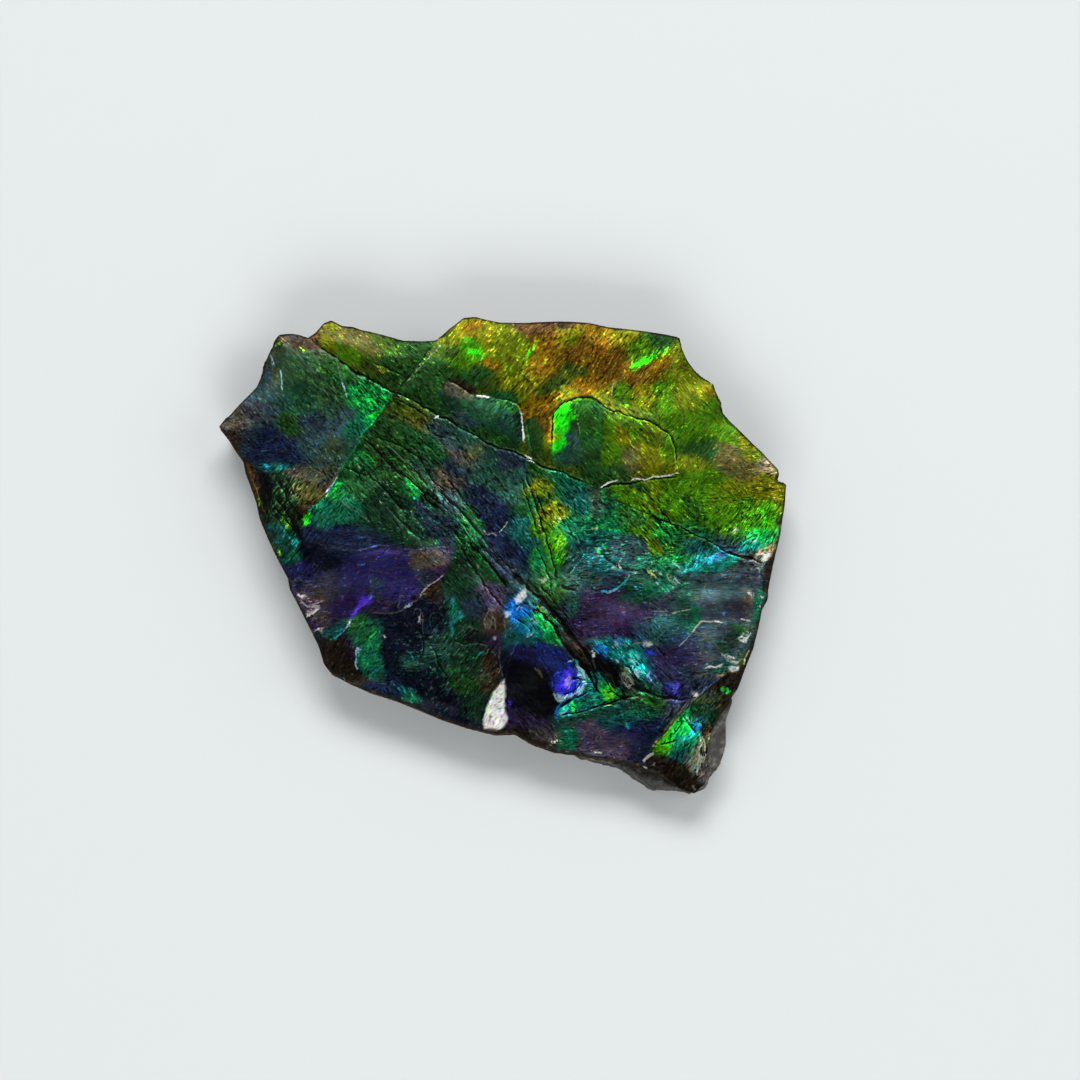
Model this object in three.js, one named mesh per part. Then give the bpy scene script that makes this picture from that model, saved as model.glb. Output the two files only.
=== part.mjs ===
// Rough ammolite specimen: a broken sheet of fossil ammonite shell, iridescent on top, which still lies on a thin
// backing of the dark shale it was split out of. Millimetres, +Z up. The origin is under the middle of the specimen,
// on the flat split underside that it rests on. +X runs along its length.
import * as THREE from 'three';
import { ImprovedNoise } from 'three/addons/math/ImprovedNoise.js';

// Driving dimensions
const LENGTH = 35.25; // left tip to right corner
const SHALE_THICKNESS = 1.9;
const SHEET_THICKNESS = 1.2; // mean
const CAST_LAYER = 0.5; // the dull layer under the nacre, which forms the outer rim
const THINNEST = 0.3; // the sheet where it is worn and chipped most
const SWELL = 0.26; // the shell's broad undulation
const LUMPS = 0.15; // the small lumps and dents on it
const RIM_WEAR = 0.22; // how far the surface is worn down at the rim
const FOLD_SLOPE = 0.34; // fall of the folded corner beyond its crest, to at most FOLD_DROP
const FOLD_DROP = 0.8;
const NACRE_SETBACK = 0.3; // how far the nacre stands back from the outer rim at the sides and front
const BED_WAVE = 0.1; // how far a bedding ledge waves up and down

// Spacing of the corners of the facets
const FACET = 0.92; // on the open surface
const RIM_FACET = 0.68; // along the rim
const CRACK_FACET = 0.6; // along a crack
const CLEAR_OF_CRACKS = 0.42; // how near an open facet's corner may come to a crack or the rim
const CLEAR_OF_CORNERS = 0.13; // how near one corner may come to another

// Outlines are drawn on a grid of sixteenths of a millimetre, x to the right and y towards the front, seen along a
// line of sight that leans 15 degrees from the vertical towards the front.
const GRID_LEFT = 221;
const GRID_RIGHT = 785;
const GRID_MIDDLE_ROW = 553;
const LEAN = THREE.MathUtils.degToRad(15);
const COLUMN = LENGTH / (GRID_RIGHT - GRID_LEFT);
const ROW = COLUMN / Math.cos(LEAN);

// A place on the grid, for something that lies a given depth below the top of the sheet.
const at = ([column, row], depth = 0) =>
  new THREE.Vector2(
    (column - (GRID_LEFT + GRID_RIGHT) / 2) * COLUMN,
    (GRID_MIDDLE_ROW - row) * ROW + depth * Math.tan(LEAN),
  );
const all = (points, depth = 0) => points.map((point) => at(point, depth));

// The rim, clockwise from the left tip: broken straight edges with small nicks.
const BACK_EDGE = [
  [221, 425], [231, 413], [240, 406], [250, 396], [257, 387], [262, 375], [265, 363], [270, 351], [275, 342],
  [280, 335.5], [292, 334], [300, 335], [309, 338.5], [317, 333], [324, 324], [332, 321], [343, 327], [353, 327],
  [362, 331], [381, 335.5], [404, 341], [421, 342], [436, 341], [449, 330], [464, 318], [476, 317], [500, 323],
  [528, 323], [555, 321], [588, 323], [617, 328], [648, 332], [679, 337], [682, 349], [694, 370], [701, 376],
  [713, 384], [720, 400], [722, 411], [734, 426], [752, 444], [771, 462], [778, 470], [776, 478], [785, 483],
];
const RIGHT_EDGE = [
  [782.5, 506], [778, 534], [771, 563], [766, 588], [766, 596], [760, 607], [756, 626], [751, 646], [743, 666],
  [736, 685], [731, 692],
];
const FOLDED_CORNER = [[727, 700], [718, 712], [710, 726], [706, 742], [707, 760], [703, 778], [693, 790], [679, 786]];
const FRONT_EDGE = [
  [662, 775], [643, 767], [624, 760], [600, 757], [576, 753], [554, 750], [532, 742], [515, 732], [496, 733],
  [468, 726], [444, 718], [420, 708], [400, 700], [372, 691], [350, 681], [334, 672], [326, 661], [321, 644],
  [312, 626], [302, 606], [292, 587], [290, 576], [280, 558], [270, 537], [262, 518], [258, 500], [247, 470],
  [245, 460], [236, 448], [230, 438],
];

// The bare rock beyond the folded corner and under the front edge, which stands out past the sheet.
const BARE_CORNER = [[733, 699], [725, 718], [726, 742], [720, 764], [708, 777], [706, 785], [693, 790]];
const FRONT_BULGE = [[677, 787], [652, 787], [645, 782], [635, 774], [623, 767], [606, 761], [580, 755]];

// Plates that the cracks and faults part, each with how far it stands above the lowest one.
const PLATES = [
  {
    // the upper left plate, up to the long fault
    lift: 0.24,
    outline: [
      [215, 300], [437, 300], [437, 342], [423, 360], [410, 376], [395, 395], [375, 424], [360, 443], [345, 465],
      [333, 487], [315, 512], [298, 536], [240, 550], [200, 440],
    ],
  },
  {
    // the back plate, beyond the long dark crack and the healed one
    lift: 0.2,
    outline: [
      [437, 342], [437, 300], [800, 300], [800, 566], [759, 563], [740, 555], [721, 550], [699, 537], [670, 523],
      [650, 513], [615, 500], [600, 488], [572, 478], [542, 467], [513, 451], [482, 441], [448, 419], [421, 406],
      [395, 395], [410, 376], [423, 360],
    ],
  },
  {
    // the round scale lying on the back plate
    lift: 0.4,
    outline: [
      [556, 410], [563, 403], [580, 397], [600, 404], [620, 412], [645, 420], [662, 430], [673, 440], [678, 460],
      [679, 474], [652, 477], [634, 479], [617, 481], [600, 488], [584, 482], [566, 472], [553, 450], [551, 428],
    ],
  },
  {
    // the low front left plate
    lift: 0.12,
    outline: [
      [298, 536], [330, 545], [367, 548], [400, 547], [433, 545], [455, 546], [480, 580], [503, 612], [492, 650],
      [483, 690], [480, 740], [300, 740], [270, 560],
    ],
  },
  {
    // the sliver between the split strands of the bundle of cracks
    lift: 0.17,
    outline: [
      [420, 485], [445, 498], [478, 530], [512, 565], [535, 595], [560, 625], [585, 655], [592, 670], [560, 650],
      [525, 615], [485, 565], [455, 527],
    ],
  },
  {
    // the front right plate, between the bundle of cracks and the fold
    lift: 0.15,
    outline: [
      [600, 553], [640, 580], [700, 596], [770, 590], [770, 650], [727, 672], [700, 693], [680, 711], [660, 733],
      [600, 700], [585, 655], [560, 625], [550, 600], [575, 570],
    ],
  },
];

// Open cracks, each from end to end, widest and deepest first.
const CRACKS = [
  {
    width: 0.3,
    depth: 0.3,
    path: [[309, 345], [333, 356], [362, 376], [395, 395], [421, 406], [448, 419], [482, 441], [513, 451], [542, 467],
      [572, 478], [600, 488]],
  },
  { width: 0.3, depth: 0.3, path: [[383, 455], [428, 500], [470, 530], [515, 575], [560, 625], [592, 670], [600, 695]] },
  { width: 0.26, depth: 0.28, path: [[432, 348], [410, 376], [395, 395], [375, 424], [345, 465], [315, 512], [303, 528]] },
  { width: 0.26, depth: 0.26, path: [[600, 488], [615, 500], [650, 513], [699, 537], [721, 550], [755, 562]] },
  { width: 0.3, depth: 0.25, path: [[450, 381], [477, 397], [510, 402], [523, 425], [530, 452]] },
  { width: 0.24, depth: 0.22, path: [[310, 540], [330, 545], [367, 548], [400, 547], [455, 546]] },
  { width: 0.22, depth: 0.2, path: [[400, 440], [460, 505], [500, 550], [530, 585], [550, 602]] },
  { width: 0.22, depth: 0.2, path: [[345, 470], [378, 490], [415, 530], [460, 560], [490, 592], [507, 615]] },
  { width: 0.2, depth: 0.18, path: [[363, 462], [395, 495], [440, 540], [470, 575]] },
  { width: 0.2, depth: 0.18, path: [[525, 480], [545, 530], [556, 580]] },
  { width: 0.22, depth: 0.2, path: [[600, 553], [630, 572], [655, 586], [690, 592]] },
  { width: 0.22, depth: 0.22, path: [[722, 678], [700, 693], [680, 711], [660, 733], [646, 755]] },
];

// Hollows where flakes of the sheet have come out: half length and half width in mm, and the turn of the length.
const HOLLOWS = [
  { centre: [523, 684], along: 2.6, across: 1.1, deep: 0.28, turn: 78 },
  { centre: [628, 602], along: 3.0, across: 1.0, deep: 0.2, turn: -12 },
  { centre: [470, 392], along: 1.5, across: 0.7, deep: 0.22, turn: -20 },
  { centre: [430, 470], along: 2.2, across: 0.8, deep: 0.16, turn: -48 },
];
const FOLD_CREST = [[727, 672], [641, 760]];
const RIM_CHIPS = { count: 30, radius: 0.8, depth: 0.34 };

const grain = new ImprovedNoise();

function isInside(outline, { x, y }) {
  let inside = false;
  outline.forEach((a, i) => {
    const b = outline[(i + 1) % outline.length];
    const isBeside = a.y > y !== b.y > y && x < ((b.x - a.x) * (y - a.y)) / (b.y - a.y) + a.x;
    if (isBeside) inside = !inside;
  });
  return inside;
}

function distanceToPath(path, place) {
  const side = new THREE.Vector2();
  let least = Infinity;
  for (let i = 1; i < path.length; i++) {
    side.subVectors(path[i], path[i - 1]);
    const share = place.clone().sub(path[i - 1]).dot(side) / side.lengthSq();
    const nearest = path[i - 1].clone().addScaledVector(side, THREE.MathUtils.clamp(share, 0, 1));
    least = Math.min(least, nearest.distanceTo(place));
  }
  return least;
}

// Points along a path, no further apart than a spacing, each with the direction across the path there.
function stationsAlong(path, spacing) {
  const stations = [];
  for (let i = 1; i < path.length; i++) {
    const [start, end] = [path[i - 1], path[i]];
    const steps = Math.max(1, Math.round(start.distanceTo(end) / spacing));
    const across = new THREE.Vector2(start.y - end.y, end.x - start.x).normalize();
    for (let step = 0; step < steps; step++) stations.push({ point: start.clone().lerp(end, step / steps), across });
  }
  stations.push({ point: path[path.length - 1].clone(), across: stations[stations.length - 1].across });
  return stations;
}

// A closed outline with each point drawn back towards the middle by the mm that a function gives.
function drawnBack(outline, amountAt) {
  return outline.map((point, i) => {
    const before = outline[(i + outline.length - 2) % outline.length];
    const after = outline[(i + 2) % outline.length];
    const outward = new THREE.Vector2(before.y - after.y, after.x - before.x).normalize();
    const amount = amountAt(point, outward, i);
    return point.clone().addScaledVector(point.clone().normalize(), -amount);
  });
}

// Triangles that join scattered points with no thin slivers (Delaunay, one point added at a time).
function triangulate(points) {
  const count = points.length;
  const far = 10 * LENGTH;
  const places = [...points, new THREE.Vector2(-far, -far), new THREE.Vector2(far, -far), new THREE.Vector2(0, far)];
  const circled = (a, b, c) => {
    const [p, q, r] = [places[a], places[b], places[c]];
    const twice = 2 * (p.x * (q.y - r.y) + q.x * (r.y - p.y) + r.x * (p.y - q.y));
    const [pp, qq, rr] = [p.lengthSq(), q.lengthSq(), r.lengthSq()];
    const x = (pp * (q.y - r.y) + qq * (r.y - p.y) + rr * (p.y - q.y)) / twice;
    const y = (pp * (r.x - q.x) + qq * (p.x - r.x) + rr * (q.x - p.x)) / twice;
    return { corners: [a, b, c], x, y, reach: (p.x - x) ** 2 + (p.y - y) ** 2 };
  };
  let triangles = [circled(count, count + 1, count + 2)];
  points.forEach((point, i) => {
    const rim = new Map();
    triangles = triangles.filter(({ corners, x, y, reach }) => {
      if ((point.x - x) ** 2 + (point.y - y) ** 2 >= reach) return true;
      corners.forEach((start, k) => {
        const end = corners[(k + 1) % 3];
        if (!rim.delete(`${end},${start}`)) rim.set(`${start},${end}`, [start, end]);
      });
      return false;
    });
    rim.forEach(([start, end]) => triangles.push(circled(start, end, i)));
  });
  return triangles.map(({ corners }) => corners).filter((corners) => Math.max(...corners) < count);
}

// The corners round a set of triangles, in order.
function loopRound(triangles) {
  const sides = new Map();
  for (const corners of triangles) {
    corners.forEach((start, k) => {
      const end = corners[(k + 1) % 3];
      if (!sides.delete(`${end},${start}`)) sides.set(`${start},${end}`, [start, end]);
    });
  }
  const next = new Map(sides.values());
  const loop = [[...next.keys()][0]];
  while (next.get(loop[loop.length - 1]) !== loop[0]) loop.push(next.get(loop[loop.length - 1]));
  return loop;
}

// A closed solid: an upper face with corners on a rim, rings of wall below it, and a flat underside in the last ring.
function closedSolid(face, rings) {
  const corners = [...face.corners];
  const triangles = [...face.triangles];
  let upper = face.loop;
  for (const ring of rings) {
    const lower = face.loop.map((k) => corners.push(ring[k]) - 1);
    upper.forEach((start, i) => {
      const j = (i + 1) % upper.length;
      triangles.push([start, lower[i], lower[j]], [start, lower[j], upper[j]]);
    });
    upper = lower;
  }
  const underside = upper.map((k) => new THREE.Vector2(corners[k].x, corners[k].y));
  for (const [a, b, c] of THREE.ShapeUtils.triangulateShape(underside, [])) {
    triangles.push([upper[a], upper[c], upper[b]]);
  }
  const geometry = new THREE.BufferGeometry().setFromPoints(corners);
  geometry.setIndex(triangles.flat());
  return geometry;
}

const standing = (points, height) => points.map(({ x, y }) => new THREE.Vector3(x, y, height(x, y)));
const waves = (base, seed) => (x, y) => base + BED_WAVE * grain.noise(x * 0.45, y * 0.45, seed);

// The outer rim of the sheet, and the rim of the nacre, which stands back a little at the sides and front.
const closedPath = all([...BACK_EDGE, ...RIGHT_EDGE, ...FOLDED_CORNER, ...FRONT_EDGE, BACK_EDGE[0]]);
const drawnRim = stationsAlong(closedPath, RIM_FACET).slice(0, -1).map(({ point }) => point);
const outerRim = drawnRim.map((point, i) => {
  const [before, after] = [drawnRim.at(i - 1), drawnRim[(i + 1) % drawnRim.length]];
  const facesFront = Math.max(0, (before.x - after.x) / before.distanceTo(after));
  return point.clone().add(new THREE.Vector2(0, facesFront * (SHEET_THICKNESS - CAST_LAYER / 2) * Math.tan(LEAN)));
});
const nacreRim = drawnBack(outerRim, (point, outward) => {
  const ragged = 1 + 0.6 * grain.noise(point.x * 1.1, point.y * 1.1, 5.5);
  return NACRE_SETBACK * ragged * Math.max(0.08, Math.abs(outward.x) - outward.y);
});
const rimPath = [...nacreRim, nacreRim[0]];

// Chips out of the rim, unevenly spaced.
const rimChips = Array.from({ length: RIM_CHIPS.count }, (_, i) => {
  const place = Math.round(((i + 0.6 * grain.noise(i * 1.7, 2.5, 0.5)) / RIM_CHIPS.count) * nacreRim.length);
  const size = 1 + 0.5 * grain.noise(i * 2.3, 8.5, 4.5);
  return { centre: nacreRim.at(place % nacreRim.length), radius: RIM_CHIPS.radius * size, depth: RIM_CHIPS.depth * size };
});

const plates = PLATES.map(({ lift, outline }) => ({ lift, outline: all(outline) }));
const hollows = HOLLOWS.map((hollow) => ({ ...hollow, middle: at(hollow.centre) }));
const [foldStart, foldEnd] = all(FOLD_CREST);
const foldAcross = new THREE.Vector2(foldStart.y - foldEnd.y, foldEnd.x - foldStart.x).normalize();

// Height of the nacre: the shell's swell and lumps on its plate, less wear, hollows and chips and the fall of the fold.
function nacreHeight(place) {
  const { x, y } = place;
  const swell = SWELL * grain.noise(x / 8, y / 8, 3.1);
  const lumps = LUMPS * grain.noise(x / 1.9, y / 1.9, 7.7);
  const lift = Math.max(0, ...plates.filter(({ outline }) => isInside(outline, place)).map((plate) => plate.lift));
  const wear = RIM_WEAR * Math.exp(-distanceToPath(rimPath, place) / 0.6);
  const beyondFold = Math.max(0, place.clone().sub(foldStart).dot(foldAcross));
  const hollowed = hollows.reduce((sum, { middle, along, across, deep, turn }) => {
    const offset = place.clone().sub(middle).rotateAround(new THREE.Vector2(), -THREE.MathUtils.degToRad(turn));
    return sum + deep * Math.exp(-((offset.x / along) ** 2) - (offset.y / across) ** 2);
  }, 0);
  const chipped = rimChips.map(({ centre, radius, depth }) => depth * (1 - centre.distanceTo(place) / radius));
  const lost = wear + hollowed + Math.max(0, ...chipped) + Math.min(FOLD_SLOPE * beyondFold, FOLD_DROP);
  return SHALE_THICKNESS + Math.max(THINNEST, SHEET_THICKNESS + swell + lumps + lift - lost);
}

// The corners that the broken upper face needs: both lips and the floor of each crack, both sides of each plate's
// edge, and between these an open, slightly uneven field.
function faceCorners() {
  const corners = nacreRim.map((place) => new THREE.Vector3(place.x, place.y, nacreHeight(place)));
  const isClear = (place, clearance) =>
    corners.every((corner) => Math.hypot(corner.x - place.x, corner.y - place.y) > clearance);
  const add = (place, clearance, depth = 0) => {
    if (!isInside(nacreRim, place) || distanceToPath(rimPath, place) < CLEAR_OF_CRACKS) return;
    if (isClear(place, clearance)) corners.push(new THREE.Vector3(place.x, place.y, nacreHeight(place) - depth));
  };
  for (const { width, depth, path } of CRACKS) {
    const stations = stationsAlong(all(path), CRACK_FACET);
    stations.forEach(({ point, across }, i) => {
      const open = 0.4 + 0.6 * Math.sin((Math.PI * i) / (stations.length - 1));
      add(point, CLEAR_OF_CORNERS, depth * open);
      for (const side of [-1, 1]) {
        add(point.clone().addScaledVector(across, side * Math.max(0.14, (width * open) / 2)), CLEAR_OF_CORNERS);
      }
    });
  }
  for (const { outline } of plates) {
    for (const { point, across } of stationsAlong([...outline, outline[0]], CRACK_FACET)) {
      for (const side of [-1, 1]) add(point.clone().addScaledVector(across, side * 0.1), 0.19);
    }
  }
  const rowStep = FACET * Math.sin(Math.PI / 3);
  for (let row = -20; row <= 20; row++) {
    for (let column = -22; column <= 22; column++) {
      const x = (column + (row % 2) / 2) * FACET + 0.25 * grain.noise(column * 0.7, row * 0.7, 1.5);
      add(new THREE.Vector2(x, row * rowStep + 0.25 * grain.noise(column * 0.7, row * 0.7, 6.5)), CLEAR_OF_CRACKS);
    }
  }
  return corners;
}

function ammoliteSheet() {
  const corners = faceCorners();
  const places = corners.map(({ x, y }) => new THREE.Vector2(x, y));
  const triangles = triangulate(places).filter(([a, b, c]) => {
    const middle = places[a].clone().add(places[b]).add(places[c]).divideScalar(3);
    return isInside(nacreRim, middle);
  });
  const castWave = waves(SHALE_THICKNESS + CAST_LAYER, 2.5);
  const castTop = (x, y) => Math.min(castWave(x, y), nacreHeight(new THREE.Vector2(x, y)) - THINNEST / 2);
  const rings = [
    standing(drawnBack(nacreRim, () => -0.04), (x, y) => castTop(x, y) + 0.02),
    standing(drawnBack(outerRim, () => -0.04), castTop),
    standing(outerRim, () => SHALE_THICKNESS),
  ];
  return closedSolid({ corners, triangles, loop: loopRound(triangles) }, rings);
}

// Bedding layers of the shale, from the sheet down: how far each stands back under the sheet, and how raggedly.
const BEDS = [
  { top: SHALE_THICKNESS, bottom: 1.45, back: 0.16, ragged: 0.14 },
  { top: 1.45, bottom: 0.95, back: 0.62, ragged: 0.34 },
  { top: 0.95, bottom: 0.5, back: 0.48, ragged: 0.3 },
  { top: 0.5, bottom: 0, back: 1.0, ragged: 0.5 },
];
const BARE_SHARE = 0.45; // how much of a bed's setback shows where the rock is bare

function shaleBacking() {
  const isBareFrom = BACK_EDGE.length + RIGHT_EDGE.length;
  const under = SHEET_THICKNESS;
  const drawn = [...BACK_EDGE, ...RIGHT_EDGE, ...BARE_CORNER, ...FRONT_BULGE, ...FRONT_EDGE.slice(4)];
  const isBare = drawn.map((_, i) => i >= isBareFrom && i < isBareFrom + BARE_CORNER.length + FRONT_BULGE.length);
  const outline = drawn.map((point, i) => at(point, i >= isBareFrom ? under : 0));
  const rings = BEDS.flatMap(({ top, bottom, back, ragged }, bed) => {
    const edge = drawnBack(outline, (point, outward, i) => {
      const broken = ragged * grain.noise(point.x * 0.7, point.y * 0.7, bed * 3.3 + 0.5);
      return (isBare[i] ? BARE_SHARE : 1) * Math.max(0.05, back + 2 * broken);
    });
    const upper = bed === 0 ? () => top : waves(top, bed * 1.7);
    const lower = bottom === 0 ? () => 0 : waves(bottom - 0.05, bed * 1.7 + 1.7);
    return [standing(edge, upper), standing(drawnBack(edge, () => 0.05), lower)];
  });
  const corners = rings[0];
  const contour = corners.map(({ x, y }) => new THREE.Vector2(x, y));
  const loop = corners.map((_, i) => i).reverse();
  const triangles = THREE.ShapeUtils.triangulateShape(contour, []);
  return closedSolid({ corners, triangles, loop }, rings.slice(1));
}

function mesh(name, geometry, colour, roughness, metalness) {
  const material = new THREE.MeshStandardMaterial({ color: colour, roughness, metalness, flatShading: true });
  const piece = new THREE.Mesh(geometry, material);
  piece.name = name;
  return piece;
}

const specimen = new THREE.Group();
specimen.add(mesh('ammolite_sheet', ammoliteSheet(), '#2f5a34', 0.28, 0.35));
specimen.add(mesh('shale_backing', shaleBacking(), '#4a4440', 0.85, 0));
const middle = new THREE.Box3().setFromObject(specimen).getCenter(new THREE.Vector3());
specimen.position.set(-middle.x, -middle.y, 0);

export default specimen;
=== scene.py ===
import math

import bpy
import mathutils
import numpy as np
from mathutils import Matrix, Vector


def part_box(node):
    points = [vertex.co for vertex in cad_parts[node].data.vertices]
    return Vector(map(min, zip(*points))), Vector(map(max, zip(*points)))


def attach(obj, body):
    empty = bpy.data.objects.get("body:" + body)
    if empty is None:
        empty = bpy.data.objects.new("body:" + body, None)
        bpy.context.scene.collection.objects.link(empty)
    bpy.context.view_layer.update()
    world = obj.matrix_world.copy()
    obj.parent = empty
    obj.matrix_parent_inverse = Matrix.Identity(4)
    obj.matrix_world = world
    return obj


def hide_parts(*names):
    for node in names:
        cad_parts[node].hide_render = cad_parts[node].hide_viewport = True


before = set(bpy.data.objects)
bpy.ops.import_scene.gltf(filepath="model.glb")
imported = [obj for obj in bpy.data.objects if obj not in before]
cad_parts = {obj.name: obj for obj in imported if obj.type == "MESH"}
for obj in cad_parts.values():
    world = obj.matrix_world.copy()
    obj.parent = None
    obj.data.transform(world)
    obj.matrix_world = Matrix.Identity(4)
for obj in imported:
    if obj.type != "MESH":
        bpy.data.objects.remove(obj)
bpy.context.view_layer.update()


# The shell sheet. On the real piece this is a broken sheet of fossil ammonite shell, a millimetre of stacked
# aragonite plates whose spacing gives the colours, split along faults and healed with white calcite. It is
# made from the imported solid, remeshed finely, weathered, and painted mark by mark on a drawing grid.
MM = 0.001
SKIN = 0.1038  # mm between the points of the shell's skin
SQUARE = 0.0625  # mm, one square of the drawing grid
GRID_CENTRE = (503.0, 553.0)  # the column and row over the specimen's middle
LEAN = math.radians(15)  # the grid is seen from this far in front of the vertical
GRID_LEVEL = 3.1  # mm, the height of the surface that the grid lies on
GRID_SHIFT = 0.09  # mm, from the grid's middle to the specimen's


def copy_of_node(node, name):
    """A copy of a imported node's mesh in millimetres, with its loose triangles joined."""
    bpy.ops.object.select_all(action="DESELECT")
    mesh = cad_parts[node].data.copy()
    mesh.materials.clear()
    mesh.transform(mathutils.Matrix.Scale(1 / MM, 4))
    piece = bpy.data.objects.new(name, mesh)
    bpy.context.scene.collection.objects.link(piece)
    piece.select_set(True)
    bpy.context.view_layer.objects.active = piece
    bpy.ops.object.mode_set(mode="EDIT")
    bpy.ops.mesh.select_all(action="SELECT")
    bpy.ops.mesh.remove_doubles(threshold=0.002)
    bpy.ops.object.mode_set(mode="OBJECT")
    return piece


def remesh(piece, spacing):
    """An even skin of small square faces over a closed piece."""
    skin = piece.modifiers.new("even skin", "REMESH")
    skin.mode = "VOXEL"
    skin.voxel_size = spacing
    bpy.ops.object.modifier_apply(modifier=skin.name)


def points_of(piece):
    places = np.empty(len(piece.data.vertices) * 3, np.float32)
    piece.data.vertices.foreach_get("co", places)
    return places.reshape(-1, 3).astype(float)


def normals_of(piece):
    normals = np.empty(len(piece.data.vertices) * 3, np.float32)
    piece.data.vertex_normals.foreach_get("vector", normals)
    return normals.reshape(-1, 3).astype(float)


def put_points(piece, places):
    piece.data.vertices.foreach_set("co", places.astype(np.float32).ravel())
    piece.data.update()


sheet = copy_of_node("ammolite_sheet", "shell_sheet")
remesh(sheet, SKIN)
sheet_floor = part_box("ammolite_sheet")[0].z / MM
CAP = 0.05  # mm above the flat underside, where the fine skin stops and one flat face closes it
bpy.ops.object.mode_set(mode="EDIT")
bpy.ops.mesh.select_all(action="SELECT")
bpy.ops.mesh.bisect(
    plane_co=(0, 0, sheet_floor + CAP), plane_no=(0, 0, 1), clear_inner=True, use_fill=True
)
bpy.ops.object.mode_set(mode="OBJECT")

place = points_of(sheet)
place[place[:, 2] < sheet_floor + CAP + 0.001, 2] = sheet_floor
outward = normals_of(sheet)
count = len(place)


def step_up(value, low, high):
    """0 below low and 1 above high, with a smooth rise between them."""
    share = np.clip((value - low) / (high - low), 0, 1)
    return share * share * (3 - 2 * share)


def clouds(x, y, size, seed, octaves=3):
    """Smooth random waves from -1 to 1, of a given size, with finer ones on them. Each has its own seed."""
    total = np.zeros(np.shape(x))
    for octave in range(octaves):
        random = np.random.default_rng(seed * 101 + octave)
        turns = random.uniform(0, 2 * math.pi, (256, 256))
        u, v = x / size * 2**octave + 37.3 * octave, y / size * 2**octave + 91.7 * octave
        left, low = np.floor(u).astype(int), np.floor(v).astype(int)
        fx, fy = u - left, v - low
        sx, sy = fx * fx * (3 - 2 * fx), fy * fy * (3 - 2 * fy)

        def push(i, j):
            turn = turns[(left + i) % 256, (low + j) % 256]
            return np.cos(turn) * (fx - i) + np.sin(turn) * (fy - j)

        front = push(0, 0) + (push(1, 0) - push(0, 0)) * sx
        back = push(0, 1) + (push(1, 1) - push(0, 1)) * sx
        total += (front + (back - front) * sy) * 0.55**octave
    return total * 1.5


# The level of the top, evened out so that the solid's flat facets don't show.
LEVEL_CELL = 0.12  # mm
LEVEL_BLUR = 0.3  # mm
is_upper = outward[:, 2] > 0.4
low_corner = place[:, :2].min(0) - 1.0
cells = np.ceil((place[:, :2].max(0) + 1.0 - low_corner) / LEVEL_CELL).astype(int) + 1
cell = ((place[:, :2] - low_corner) / LEVEL_CELL).astype(int)
heights, weights = np.zeros(cells), np.zeros(cells)
np.add.at(heights, tuple(cell[is_upper].T), place[is_upper, 2])
np.add.at(weights, tuple(cell[is_upper].T), 1.0)
kernel_reach = np.arange(-10, 11) * LEVEL_CELL
kernel = np.exp(-((kernel_reach / LEVEL_BLUR) ** 2) / 2)


def blurred(values):
    """A map of heights or weights with its cells smoothed together."""
    for axis in (0, 1):
        values = np.apply_along_axis(lambda line: np.convolve(line, kernel, "same"), axis, values)
    return values


level_map = blurred(heights) / np.maximum(blurred(weights), 1e-6)


def level_at(x, y):
    """The evened level of the top over a place, between the map's nearest cells."""
    u = (x - low_corner[0]) / LEVEL_CELL - 0.5
    v = (y - low_corner[1]) / LEVEL_CELL - 0.5
    i, j = np.floor(u).astype(int), np.floor(v).astype(int)
    fu, fv = u - i, v - j
    near = level_map[i, j] * (1 - fu) + level_map[i + 1, j] * fu
    far = level_map[i, j + 1] * (1 - fu) + level_map[i + 1, j + 1] * fu
    return near * (1 - fv) + far * fv


level = level_at(place[:, 0], place[:, 1])
on_top = step_up(place[:, 2], level - 0.5, level - 0.32) * step_up(outward[:, 2], -0.3, 0.1)

# Each point's column and row on the drawing grid.
column = GRID_CENTRE[0] + place[:, 0] / SQUARE
seen = (place[:, 1] + GRID_SHIFT) * math.cos(LEAN) + (place[:, 2] - GRID_LEVEL) * math.sin(LEAN)
row = GRID_CENTRE[1] - seen / SQUARE
wander_x = 2.6 * clouds(column, row, 24, 1) + 2.2 * clouds(column, row, 5, 2, 2)
wander_y = 2.6 * clouds(column, row, 24, 3) + 2.2 * clouds(column, row, 5, 4, 2)
ragged_x = 1.1 * clouds(column, row, 9, 5, 2)
ragged_y = 1.1 * clouds(column, row, 9, 6, 2)

# How far each point is from the rim, in mm.
wall = place[(outward[:, 2] < 0.3) & (place[:, 2] < level - 0.25)]
tree = mathutils.kdtree.KDTree(len(wall))
for index, (x, y, _) in enumerate(wall):
    tree.insert((x, y, 0), index)
tree.balance()
from_rim = np.array([tree.find((x, y, 0))[2] for x, y, _ in place])


def rounded(path, closed=False):
    """A drawn path, written as its columns and rows, with its corners cut twice so that it bends smoothly."""
    points = np.array([point.split(",") for point in path.split()], float)
    if closed:
        points = np.concatenate([points, points[:1]])
    for _ in range(2):
        a, b = points[:-1], points[1:]
        cut = np.stack([a * 0.75 + b * 0.25, a * 0.25 + b * 0.75], 1).reshape(-1, 2)
        points = np.concatenate([points[:1], cut, points[-1:]])
    return points


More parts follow.
